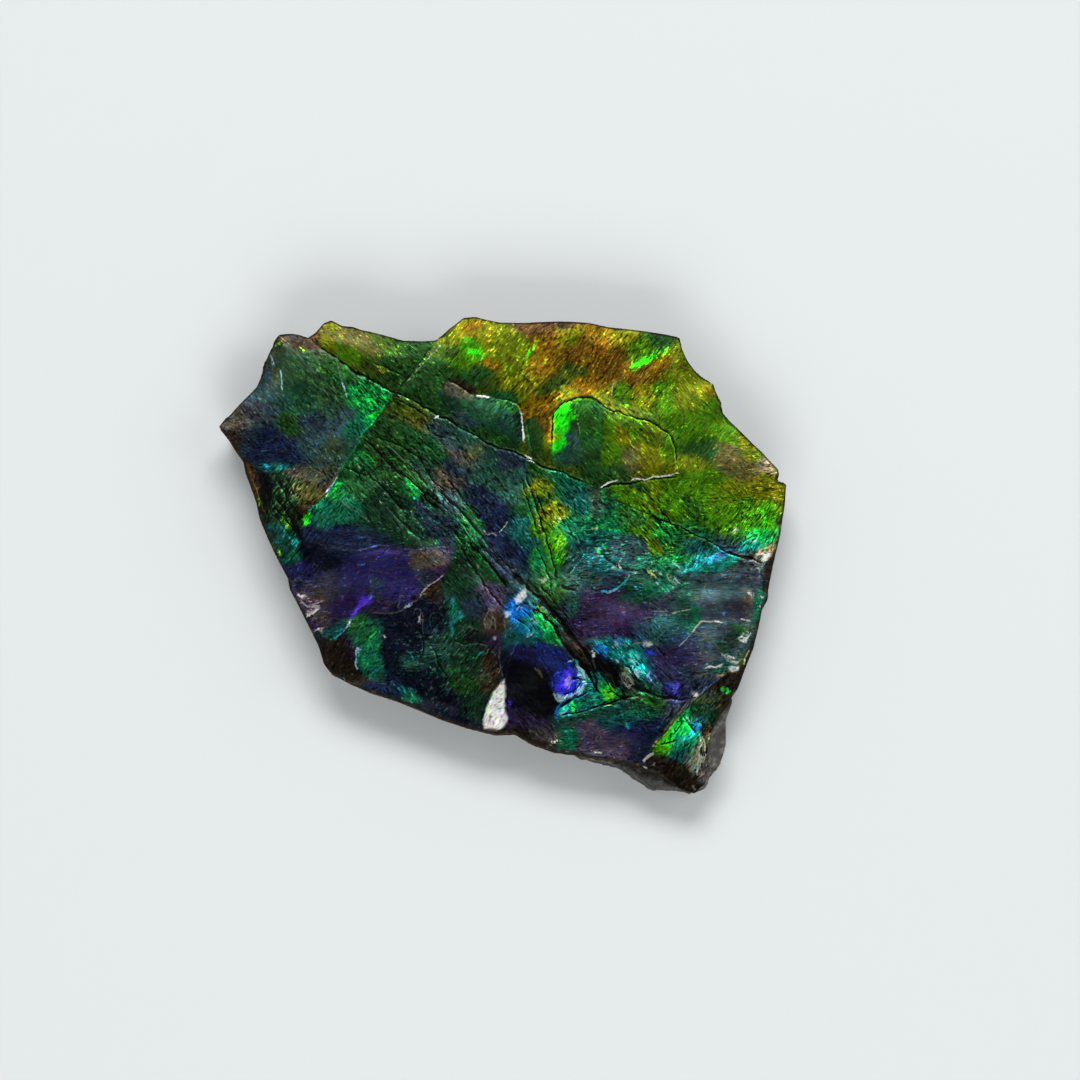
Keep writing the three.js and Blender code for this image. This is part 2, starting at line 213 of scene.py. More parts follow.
def near_path(points, reach, ragged=1.0):
    """Which points are near a path, how far off, on which side, and how far along it from 0 to 1."""
    x, y = column + ragged * ragged_x, row + ragged * ragged_y
    low, high = points.min(0) - reach, points.max(0) + reach
    which = np.flatnonzero((x > low[0]) & (x < high[0]) & (y > low[1]) & (y < high[1]))
    x, y = x[which], y[which]
    best = np.full(len(which), 1e9)
    side, along = np.ones(len(which)), np.zeros(len(which))
    lengths = np.hypot(*(points[1:] - points[:-1]).T)
    run = np.concatenate([[0], np.cumsum(lengths)])
    for k in range(len(points) - 1):
        dx, dy = points[k + 1] - points[k]
        ex, ey = x - points[k][0], y - points[k][1]
        share = np.clip((ex * dx + ey * dy) / max(lengths[k] ** 2, 1e-9), 0, 1)
        off = np.hypot(ex - share * dx, ey - share * dy)
        closer = off < best
        best[closer] = off[closer]
        side[closer] = np.sign(dx * ey - dy * ex)[closer]
        along[closer] = ((run[k] + share * lengths[k]) / run[-1])[closer]
    keep = best < reach
    return which[keep], best[keep], side[keep], along[keep]


def inside(outline, soft=1.2):
    """1 inside a drawn outline and 0 outside it, soft over a square or so."""
    points = rounded(outline, closed=True)
    x, y = column + ragged_x, row + ragged_y
    odd = np.zeros(count, bool)
    for (ax, ay), (bx, by) in zip(points[:-1], points[1:]):
        if ay != by:
            odd ^= ((ay > y) != (by > y)) & (x < (bx - ax) * (y - ay) / (by - ay) + ax)
    cover = odd.astype(float)
    which, off, _, _ = near_path(points, soft)
    cover[which] = np.where(odd[which], 0.5 + 0.5 * off / soft, 0.5 - 0.5 * off / soft)
    return cover


def patch(middle_column, middle_row, along, across, turn, power=1.0):
    """A soft-edged oval mark: its middle, half length, half width, and its length's turn in degrees."""
    dx, dy = column + wander_x - middle_column, row + wander_y - middle_row
    c, s = math.cos(math.radians(turn)), math.sin(math.radians(turn))
    spread = ((dx * c - dy * s) / along) ** 2 + ((dx * s + dy * c) / across) ** 2
    return np.exp(-(spread**power))


def laid_on(under, ink, share):
    """A coat with ink over it, where share says at each point how much of the ink shows."""
    return under + (ink - under) * share[:, None]


def shade(hex_colour):
    """A colour's red, green and blue from 0 to 1."""
    return np.array([int(hex_colour[k : k + 2], 16) / 255 for k in (1, 3, 5)])


def linear(colour):
    """An sRGB colour, or many, as the linear values that Blender's shaders take."""
    colour = np.clip(colour, 0, 1)
    return np.where(colour <= 0.04045, colour / 12.92, ((colour + 0.055) / 1.055) ** 2.4)


# The inks that the shell is painted with, for its plates, facets, marks, veins and rim.
INKS = {
    "black": "#08090c", "peat": "#1a140e", "umber": "#2e2318", "brown": "#4a3520", "rust": "#58400a",
    "sienna": "#6a5006", "orange": "#8a620a", "amber": "#b07c0c", "gold": "#b8961a", "yellow": "#cfc22a",
    "straw": "#d8d078", "salmon": "#a5733c", "taupe": "#453f36", "tan": "#857856", "cream": "#c9c2a4",
    "white": "#e8e6e0", "ash": "#5a574c", "rock": "#4a443e", "olive": "#566208", "khaki": "#606408",
    "moss": "#324812", "leaf": "#3c6808", "grass": "#3c8a0a", "lime": "#78c812", "flash": "#1fe814",
    "spring": "#14d84a", "emerald": "#12964a", "green": "#0f6a2c", "bottle": "#174620", "forest": "#1a3c16",
    "fir": "#112a1a", "jade": "#11583c", "pine": "#1b3e32", "slate": "#2c4244", "steel": "#323c44",
    "dusk": "#202c38", "teal": "#114844", "lagoon": "#137872", "turquoise": "#18b4a2", "cyan": "#28a8cc",
    "ice": "#b0dcea", "sky": "#5488cc", "azure": "#1268c8", "blue": "#2030a0", "cobalt": "#3b2cf0",
    "violet": "#5a32e0", "lilac": "#6a5cc0", "plum": "#261c34", "grape": "#271c42", "indigo": "#1b1b40",
    "navy": "#131c32", "ink": "#0b0e1b", "mist": "#42384a", "blush": "#c8aab0", "drab": "#4e4c24",
    "sage": "#33442f", "bone": "#b0aea6", "pewter": "#6e6a68", "lead": "#4a4a4c", "gloom": "#2b2c36",
    "celadon": "#5c7a62", "fog": "#42565a", "iris": "#8c80ee", "royal": "#1a2660", "heather": "#2e2d4e",
    "sapphire": "#3840a8", "amethyst": "#231f4c",
}
INKS = {name: shade(value) for name, value in INKS.items()}

# The plates of shell that the faults part: the outline of each, and its ground colours by ink, column, row,
# length, width and turn.
PLATES = [
    # The middle, which lies under all the others.
    (None, [
        ("green", 340, 490, 9, 5, 52), ("bottle", 352, 480, 14, 7, -45), ("jade", 338, 512, 14, 8, 20),
        ("bottle", 365, 480, 16, 11, -45), ("fir", 388, 506, 26, 11, -45), ("forest", 395, 470, 22, 9, -45),
        ("green", 411, 488, 8, 5, -50), ("navy", 332, 540, 34, 8, -5), ("fir", 410, 530, 24, 11, -40),
        ("dusk", 428, 516, 12, 7, -45), ("dusk", 438, 528, 16, 9, -45), ("moss", 398, 412, 18, 6, -35),
        ("drab", 413, 423, 12, 5, -35), ("bottle", 425, 442, 22, 8, -35), ("forest", 400, 442, 14, 9, -45),
        ("slate", 448, 440, 16, 7, -30), ("pine", 472, 446, 20, 7, -30), ("taupe", 462, 459, 18, 6, -30),
        ("taupe", 446, 480, 10, 6, -40), ("dusk", 457, 469, 10, 6, -35), ("pine", 482, 472, 18, 9, -35),
        ("navy", 496, 514, 14, 9, -40), ("dusk", 514, 463, 12, 6, -30), ("fir", 425, 465, 12, 7, -40),
        ("pine", 500, 487, 16, 7, -35), ("pine", 520, 478, 8, 10, -60), ("fir", 433, 500, 10, 7, -40),
        ("navy", 483, 497, 12, 6, -30), ("drab", 476, 452, 8, 8, -50), ("slate", 452, 505, 14, 7, -45),
        ("bottle", 470, 520, 15, 6, -48), ("teal", 520, 530, 14, 10, -60), ("navy", 505, 545, 20, 8, -40),
        ("dusk", 498, 561, 12, 7, -40), ("bottle", 478, 556, 18, 6, -48), ("fir", 450, 560, 18, 10, -40),
        ("fir", 460, 585, 18, 9, -48), ("forest", 533, 468, 7, 8, -60), ("olive", 541, 487, 7, 10, -70),
        ("khaki", 549, 512, 8, 11, -75), ("leaf", 541, 527, 6, 12, -75), ("bottle", 530, 508, 6, 16, -70),
        ("grass", 557, 547, 6, 13, -5), ("leaf", 550, 565, 6, 12, -5), ("green", 540, 560, 7, 7, 0),
        ("forest", 556, 585, 6, 12, -5), ("jade", 567, 486, 14, 8, -30), ("teal", 585, 503, 16, 7, -30),
        ("bottle", 606, 497, 14, 6, -20), ("leaf", 627, 500, 16, 7, -20), ("olive", 655, 503, 14, 7, -30),
        ("green", 604, 521, 18, 7, -20), ("jade", 575, 531, 14, 9, 0), ("teal", 598, 539, 16, 7, 0),
        ("leaf", 640, 524, 18, 8, -20), ("green", 662, 532, 12, 7, -40), ("slate", 625, 546, 16, 8, 10),
        ("teal", 600, 562, 14, 6, 0), ("olive", 655, 548, 9, 5, -45), ("bottle", 672, 547, 12, 7, -15),
        ("teal", 692, 549, 11, 5, -10), ("jade", 655, 562, 14, 6, 0), ("slate", 580, 578, 14, 6, -10),
        ("dusk", 616, 580, 12, 4, 20), ("pine", 642, 578, 12, 6, 0), ("jade", 655, 588, 12, 6, 10),
        ("pine", 630, 600, 12, 5, 10), ("plum", 605, 608, 26, 10, -5), ("grape", 622, 622, 20, 8, 5),
        ("plum", 585, 620, 9, 9, 0), ("pine", 574, 604, 7, 9, 0), ("steel", 665, 600, 12, 8, 0),
        ("pine", 682, 600, 12, 9, 0), ("pine", 688, 616, 8, 6, 0), ("slate", 660, 625, 14, 7, 0),
        ("dusk", 655, 640, 10, 6, 0), ("heather", 682, 655, 20, 13, 0), ("plum", 668, 650, 10, 7, 0),
        ("dusk", 692, 668, 14, 8, 0), ("lagoon", 618, 646, 14, 5, -10), ("lagoon", 634, 660, 11, 7, -50),
        ("ink", 606, 666, 13, 6, -35), ("fir", 620, 676, 16, 7, -40), ("fir", 640, 691, 16, 5, -20),
        ("forest", 655, 702, 20, 6, -20), ("pine", 635, 706, 14, 5, -10), ("indigo", 672, 688, 6, 6, 0),
        ("heather", 672, 705, 10, 7, 20), ("azure", 520, 612, 8, 6, -30), ("lagoon", 527, 624, 9, 5, -20),
        ("emerald", 543, 622, 9, 5, -45), ("green", 549, 634, 9, 5, -45), ("teal", 520, 640, 13, 6, -10),
        ("indigo", 529, 652, 14, 8, -30), ("indigo", 550, 655, 11, 8, -40), ("ink", 516, 668, 12, 10, 0),
        ("black", 536, 684, 18, 11, -60), ("black", 548, 700, 8, 12, -60), ("blue", 566, 683, 9, 9, 50),
        ("lagoon", 590, 678, 8, 8, -40), ("lagoon", 594, 694, 9, 7, 0), ("turquoise", 575, 704, 12, 4, 20),
        ("green", 605, 690, 9, 7, 0), ("ink", 512, 700, 9, 9, 0), ("plum", 513, 714, 9, 7, 0),
        ("plum", 526, 722, 14, 6, 10), ("pine", 588, 714, 22, 3.5, 8), ("teal", 618, 718, 12, 7, 0),
        ("jade", 640, 711, 14, 4, 0), ("indigo", 628, 729, 16, 6, -20), ("navy", 648, 728, 12, 8, -20),
        ("mist", 590, 730, 14, 6, -15), ("mist", 612, 742, 26, 8, -12), ("navy", 638, 748, 14, 7, -20),
        ("jade", 568, 734, 8, 7, 30), ("peat", 530, 732, 18, 6, -10), ("umber", 586, 655, 12, 4, -55),
        ("dusk", 475, 603, 11, 10, -50), ("mist", 491, 599, 8, 10, 0), ("umber", 492, 622, 8, 9, 0),
        ("plum", 497, 638, 6, 6, 0), ("ink", 425, 612, 20, 11, 0), ("navy", 432, 619, 8, 8, 0),
        ("pine", 452, 606, 6, 17, 0), ("fir", 466, 630, 12, 9, 0), ("ink", 405, 640, 20, 15, 0),
        ("pine", 440, 650, 16, 7, -20), ("fir", 460, 665, 16, 11, 0), ("forest", 463, 681, 9, 13, 60),
        ("ink", 430, 680, 20, 9, -15), ("navy", 392, 682, 12, 6, -30), ("jade", 410, 694, 9, 3, -40),
        ("ink", 445, 700, 18, 8, -15), ("fir", 475, 705, 12, 11, 0), ("umber", 488, 672, 7, 14, 0),
        ("pine", 415, 662, 12, 6, -30), ("ink", 452, 716, 22, 6, -15),
    ]),
    # The front left.
    ("270,560 298,533 315,541 330,547 350,549 367,548 385,543 400,547 420,548 433,545 455,546 452,560 "
     "446,574 440,590 420,600 400,608 384,618 380,640 384,660 392,690 360,700 300,640 276,575", [
        ("lagoon", 290, 546, 5, 8, 40), ("jade", 297, 558, 6, 6, 0), ("indigo", 302, 568, 8, 6, 0),
        ("ink", 325, 556, 18, 8, -10), ("navy", 345, 553, 14, 5, 0), ("amethyst", 375, 558, 22, 8, 0),
        ("amethyst", 392, 566, 14, 8, 0), ("taupe", 426, 560, 11, 7, -10), ("plum", 435, 575, 10, 7, 0),
        ("amethyst", 352, 578, 18, 9, 40), ("gloom", 335, 590, 18, 10, 40), ("dusk", 380, 588, 6, 7, 0),
        ("amethyst", 400, 588, 18, 9, 0), ("umber", 436, 592, 10, 6, 30), ("grape", 345, 604, 12, 8, 30),
        ("mist", 318, 606, 11, 8, 0), ("plum", 322, 622, 14, 6, 0), ("mist", 309, 598, 7, 7, 0),
        ("teal", 338, 628, 10, 4, 30), ("bottle", 358, 622, 8, 5, 30), ("bottle", 370, 634, 8, 7, 30),
        ("jade", 371, 656, 8, 11, 0), ("peat", 338, 648, 10, 8, 0), ("peat", 336, 664, 14, 9, -20),
        ("plum", 349, 652, 6, 9, 0), ("plum", 386, 606, 9, 6, 30), ("ink", 395, 615, 14, 7, 0),
        ("navy", 378, 690, 14, 6, 0), ("peat", 360, 678, 7, 5, 0),
    ]),
    # The upper left.
    ("205,430 250,320 300,310 309,339 320,347 333,356 345,365 362,376 375,382 388,390 396,396 385,410 "
     "375,424 367,432 360,443 352,455 345,465 333,487 322,500 315,512 309,520 300,533 290,560 260,560", [
        ("slate", 262, 380, 8, 18, 20), ("sage", 286, 368, 9, 18, 0), ("sage", 308, 374, 16, 14, 0),
        ("pine", 304, 396, 16, 11, 0), ("forest", 328, 374, 10, 8, -40), ("sage", 330, 396, 12, 11, -40),
        ("bottle", 345, 380, 8, 8, -45), ("green", 356, 396, 8, 8, -45), ("green", 370, 404, 10, 9, -50),
        ("emerald", 372, 418, 7, 5, 50), ("jade", 355, 428, 12, 6, 50), ("slate", 338, 416, 12, 9, 0),
        ("ash", 228, 420, 7, 8, 50), ("taupe", 240, 418, 9, 8, 50), ("steel", 258, 414, 10, 8, 20),
        ("umber", 238, 438, 7, 8, -40), ("dusk", 250, 440, 10, 8, -10), ("navy", 270, 447, 16, 11, -10),
        ("forest", 292, 426, 8, 7, -45), ("dusk", 314, 424, 12, 7, -10), ("sage", 334, 448, 12, 7, 30),
        ("slate", 326, 440, 16, 7, 20), ("slate", 318, 456, 16, 7, 0), ("pine", 344, 446, 10, 8, 50),
        ("teal", 278, 466, 14, 3.5, 0), ("navy", 292, 456, 12, 7, -10), ("taupe", 306, 474, 14, 5, -10),
        ("taupe", 326, 476, 8, 6, 40), ("drab", 306, 494, 10, 8, 40), ("fir", 284, 486, 9, 11, 40),
        ("fir", 296, 498, 13, 7, 40), ("black", 267, 490, 5, 15, 10), ("umber", 255, 480, 4, 12, 15),
        ("fir", 281, 506, 9, 9, 40), ("peat", 303, 510, 8, 5, 45), ("bottle", 288, 524, 9, 5, 40),
        ("teal", 280, 532, 6, 5, 0), ("taupe", 292, 336, 18, 9, -8), ("umber", 300, 345, 12, 5, -10),
        ("umber", 274, 342, 8, 5, 20), ("forest", 345, 374, 9, 5, -40),
    ]),
    # The upper middle.
    ("309,339 302,300 437,300 437,342 430,350 423,360 415,368 405,382 396,396 388,390 375,382 362,376 "
     "345,365 333,356 320,347", [
        ("khaki", 331, 327, 9, 4, -25), ("drab", 342, 337, 14, 6, -25), ("drab", 362, 342, 16, 8, -25),
        ("leaf", 352, 353, 12, 5, -30), ("moss", 388, 346, 14, 7, -25), ("forest", 406, 350, 14, 8, -20),
        ("forest", 425, 352, 12, 10, -30), ("forest", 390, 366, 10, 8, -35), ("moss", 372, 364, 9, 5, -40),
        ("forest", 404, 374, 10, 8, -40), ("olive", 324, 341, 8, 5, -30), ("brown", 317, 338, 5, 5, 0),
    ]),
    # The back.
    ("396,396 410,376 423,360 437,342 437,290 700,290 800,440 800,574 759,563 750,556 732,555 721,550 "
     "710,542 690,533 670,523 660,514 651,500 640,490 617,484 600,488 584,482 560,471 542,467 532,461 "
     "513,451 504,450 492,445 475,435 458,426 439,417 421,406 408,397", [
        ("khaki", 460, 328, 13, 6, 20), ("sienna", 472, 330, 8, 5, 20), ("olive", 447, 336, 9, 8, 40),
        ("moss", 443, 352, 10, 9, 0), ("khaki", 487, 338, 8, 9, 0), ("grass", 474, 350, 8, 8, 60),
        ("sienna", 493, 369, 8, 3.5, -30), ("leaf", 460, 364, 11, 8, 0), ("forest", 440, 372, 14, 9, -30),
        ("forest", 425, 390, 14, 7, -30), ("umber", 460, 388, 11, 5, -10), ("forest", 474, 378, 12, 6, 0),
        ("moss", 490, 386, 9, 6, 0), ("olive", 505, 336, 9, 8, 0), ("brown", 528, 328, 15, 5, 0),
        ("rust", 547, 335, 10, 6, 0), ("umber", 552, 325, 14, 3.5, 0), ("olive", 512, 356, 10, 10, 0),
        ("sienna", 546, 352, 10, 7, 30), ("olive", 510, 379, 12, 8, 45), ("sienna", 541, 369, 10, 5, 20),
        ("khaki", 530, 383, 10, 6, 20), ("moss", 552, 387, 10, 5, 20), ("khaki", 568, 337, 11, 6, 0),
        ("rust", 584, 352, 13, 11, 30), ("sienna", 600, 335, 13, 7, 0), ("khaki", 623, 335, 10, 6, 0),
        ("leaf", 641, 349, 10, 7, 40), ("forest", 663, 341, 11, 6, -10), ("olive", 680, 350, 7, 8, 0),
        ("rust", 611, 362, 12, 9, 20), ("rust", 642, 375, 13, 6, 25), ("sienna", 655, 366, 10, 4, 25),
        ("sienna", 588, 385, 14, 6, 20), ("khaki", 608, 397, 10, 6, 0), ("moss", 575, 370, 7, 4, 0),
        ("khaki", 641, 397, 12, 7, 0), ("leaf", 664, 396, 7, 10, 0), ("olive", 682, 386, 10, 8, 0),
        ("khaki", 703, 391, 7, 6, -50), ("olive", 690, 404, 12, 8, 0), ("leaf", 686, 428, 18, 14, 0),
        ("leaf", 706, 418, 14, 10, -40), ("forest", 700, 448, 14, 8, 0), ("leaf", 722, 434, 12, 6, -40),
        ("drab", 726, 455, 14, 8, -35), ("olive", 748, 450, 10, 6, -40), ("drab", 740, 470, 14, 6, -15),
        ("tan", 766, 464, 6, 8, -50), ("khaki", 778, 490, 4, 8, 0), ("khaki", 762, 487, 9, 8, 0),
        ("leaf", 700, 482, 20, 9, -10), ("olive", 728, 492, 14, 8, 0), ("leaf", 741, 512, 9, 6, 50),
        ("grass", 764, 518, 5, 10, -10), ("emerald", 757, 537, 8, 5, 30), ("lagoon", 747, 546, 8, 4, 20),
        ("leaf", 716, 518, 13, 8, -30), ("forest", 690, 512, 14, 8, -30), ("jade", 700, 534, 12, 4, -30),
        ("slate", 722, 541, 10, 5, -30), ("tan", 764, 555, 7, 5, 20), ("steel", 745, 556, 10, 3.5, -10),
        ("sienna", 532, 409, 9, 6, 20), ("sienna", 543, 401, 10, 5, 30), ("rust", 545, 424, 5, 12, 0),
        ("khaki", 549, 440, 5, 9, 0), ("forest", 533, 437, 6, 12, 0), ("moss", 551, 457, 6, 9, 0),
        ("olive", 520, 400, 8, 4, 30), ("bottle", 505, 398, 12, 4, -10), ("olive", 690, 463, 11, 8, 0),
        ("leaf", 668, 488, 12, 7, -20), ("olive", 656, 492, 8, 6, -20), ("forest", 640, 492, 10, 5, -20),
        ("leaf", 672, 507, 14, 7, -30), ("khaki", 566, 395, 9, 4, 30), ("forest", 580, 480, 14, 3, -15),
    ]),
    # The step.
    ("408,397 430,394 448,388 462,390 477,398 492,398 510,402 521,408 523,425 525,440 534,458 513,451 "
     "504,450 492,445 475,435 458,426 439,417 421,406", [
        ("forest", 430, 400, 18, 7, -20), ("fir", 455, 402, 18, 7, -20), ("pine", 482, 412, 14, 8, -20),
        ("pine", 505, 425, 14, 9, -40), ("forest", 494, 436, 16, 6, -30), ("bottle", 508, 407, 10, 4, -10),
        ("moss", 527, 449, 7, 6, 0), ("fir", 517, 432, 5, 12, 0), ("slate", 470, 418, 12, 5, -30),
    ]),
    # The scale.
    ("556,410 563,403 570,400 580,397 592,398 600,404 610,411 620,412 632,418 645,420 655,425 662,430 "
     "668,434 673,440 675,450 676,460 679,474 668,476 652,477 634,479 617,481 600,488 584,482 572,478 "
     "560,471 553,458 551,443 552,426", [
        ("flash", 559, 428, 6.5, 16, 0), ("flash", 565, 413, 7, 7, 20), ("grass", 574, 404, 9, 4, 0),
        ("forest", 574, 432, 5, 10, 0), ("leaf", 588, 421, 8, 12, 15), ("forest", 597, 409, 8, 5, 0),
        ("leaf", 603, 428, 11, 12, 0), ("forest", 590, 448, 14, 11, 0), ("pine", 570, 456, 9, 8, 20),
        ("leaf", 611, 452, 9, 12, 30), ("khaki", 620, 436, 8, 8, -30), ("drab", 630, 461, 9, 9, -40),
        ("leaf", 634, 428, 10, 6, -30), ("olive", 650, 438, 10, 7, -40), ("khaki", 652, 458, 11, 9, 0),
        ("olive", 664, 466, 10, 6, 0), ("leaf", 669, 452, 5, 12, 0), ("forest", 596, 474, 18, 5, 0),
        ("moss", 575, 471, 10, 4, -20), ("forest", 616, 470, 9, 6, 0),
    ]),
    # The lower right.
    ("668,566 690,572 716,574 734,566 741,557 756,562 770,560 775,590 766,650 735,672 712,672 690,664 "
     "680,640 694,612 684,590", [
        ("steel", 742, 575, 16, 8, -20), ("fog", 728, 572, 12, 6, 0), ("fog", 706, 592, 20, 8, 0),
        ("slate", 730, 592, 14, 7, 0), ("steel", 725, 609, 16, 7, 0), ("fog", 715, 632, 12, 7, 0),
        ("jade", 686, 616, 8, 8, 0), ("bottle", 727, 637, 11, 8, 20), ("fog", 704, 645, 12, 9, 20),
        ("slate", 740, 646, 11, 9, 20), ("heather", 690, 651, 9, 11, 0), ("pine", 690, 590, 11, 7, 0),
        ("ash", 744, 600, 5, 10, 0), ("jade", 756, 602, 3, 12, 0), ("teal", 712, 668, 12, 4, 20),
        ("moss", 746, 657, 8, 8, 0),
    ]),
    # The fold.
    ("731,664 720,677 700,693 690,702 680,711 670,722 660,733 652,746 641,760 660,800 740,800 740,670", [
        ("grass", 662, 738, 7, 5, 55), ("emerald", 677, 724, 9, 5, 50), ("emerald", 684, 738, 8, 5, 50),
        ("lagoon", 691, 728, 6, 4, 50), ("teal", 698, 719, 5, 4, 50), ("teal", 680, 750, 9, 4, 40),
        ("fir", 706, 712, 9, 11, 30), ("umber", 714, 698, 9, 7, 50), ("peat", 725, 681, 5, 12, 20),
        ("ash", 694, 759, 5, 11, 30), ("umber", 709, 738, 6, 13, 20), ("rock", 717, 756, 8, 14, 10),
        ("peat", 664, 766, 14, 5, -20), ("peat", 658, 760, 12, 5, -20), ("peat", 688, 783, 14, 6, 0),
        ("rock", 704, 769, 7, 11, 20),
    ]),
]

paint = np.zeros((count, 3))
for outline, colours in PLATES:
    ground = np.zeros((count, 3))
    total = np.full(count, 1e-12)
    for ink, *mark in colours:
        weight = patch(*mark) ** 1.6 + 1e-3 * patch(mark[0], mark[1], mark[2] * 3, mark[3] * 3, mark[4])
        ground += weight[:, None] * INKS[ink]
        total += weight
    ground /= total[:, None]
    paint = laid_on(paint, ground, np.ones(count) if outline is None else inside(outline))

# The grain of the shell: which way its silk runs, as seen, by column, row, turn and reach.
GRAIN = [
    (262, 385, -72, 25), (300, 380, -60, 30), (365, 400, -52, 30), (255, 440, -20, 25), (320, 440, -35, 25),
    (290, 495, 52, 28), (345, 340, -28, 30), (400, 350, -45, 30), (335, 500, 55, 16), (370, 490, -42, 30),
    (420, 440, -35, 35), (440, 510, -46, 35), (490, 550, -48, 30), (480, 345, 55, 28), (520, 370, 48, 25),
    (585, 350, 52, 35), (650, 365, 38, 30), (700, 400, -50, 25), (690, 440, 60, 30), (740, 470, -20, 25),
    (565, 430, 80, 20), (620, 440, -50, 30), (545, 500, -66, 25), (560, 545, 82, 15), (600, 515, -25, 25),
    (650, 520, -38, 25), (750, 525, 48, 22), (700, 560, 30, 22), (620, 560, 10, 22), (650, 580, -30, 20),
    (720, 610, 0, 35), (600, 620, -10, 25), (630, 660, -42, 25), (570, 640, -52, 25), (560, 690, 35, 20),
    (540, 700, -60, 20), (620, 735, -12, 35), (370, 570, 25, 35), (330, 610, 15, 25), (370, 650, 50, 25),
    (410, 640, 15, 30), (450, 620, 85, 18), (460, 690, 50, 28), (410, 695, -42, 20), (495, 640, 85, 15),
    (680, 730, 52, 20), (715, 720, 62, 25), (700, 765, 65, 20),
]
lean_x, lean_y = np.zeros(count), np.zeros(count)
for guide_column, guide_row, turn, reach in GRAIN:
    weight = np.exp(-((column - guide_column) ** 2 + (row - guide_row) ** 2) / reach**2) + 1e-9
    lean_x += weight * math.cos(2 * math.radians(turn))
    lean_y += weight * math.sin(2 * math.radians(turn))
grain_turn = np.arctan2(lean_y, lean_x) / 2 + 0.35 * clouds(column, row, 30, 11, 2)
mottle = clouds(column, row, 12, 24, 4)
grit = clouds(column, row, 3.0, 25, 2)

# How scratched the surface is: 1 where it is all silk, low where it is smooth and glassy. Each place has a
# column, row, length, width, turn and amount.
scratched = np.full(count, 0.72)
SMOOTH = [
    (350, 345, 34, 18, -20, 0.35), (500, 345, 50, 26, 0, 0.4), (600, 350, 60, 26, 10, 0.45),
    (700, 380, 30, 34, -40, 0.4), (700, 450, 50, 50, 0, 0.4), (285, 375, 34, 26, -60, 0.25),
    (330, 440, 24, 14, 0, 0.35), (375, 575, 60, 22, 5, 0.15), (340, 600, 26, 20, 0, 0.2),
    (722, 605, 44, 34, 0, 0.12), (690, 650, 34, 20, 0, 0.35), (600, 450, 50, 26, 0, 0.4),
    (620, 612, 40, 16, 0, 0.35), (540, 670, 34, 30, -40, 0.3), (612, 738, 50, 16, -14, 0.3),
    (480, 415, 44, 12, -25, 0.45),
]
ROUGH = [
    (440, 490, 90, 40, -45, 1.1), (290, 495, 30, 24, 0, 1.2), (590, 350, 60, 30, 0, 0.8),
    (370, 400, 24, 18, -50, 1.1), (560, 520, 30, 60, 15, 1.1), (660, 540, 50, 30, -20, 1),
    (450, 650, 50, 60, 0, 0.75), (620, 680, 40, 22, -30, 1.1), (750, 530, 30, 26, 0, 1.1),
    (700, 730, 40, 50, 0, 1.1),
]
for places, sharpness in ((SMOOTH, 1.4), (ROUGH, 1.2)):
    for *mark, amount in places:
        scratched += (amount - scratched) * patch(*mark, sharpness)

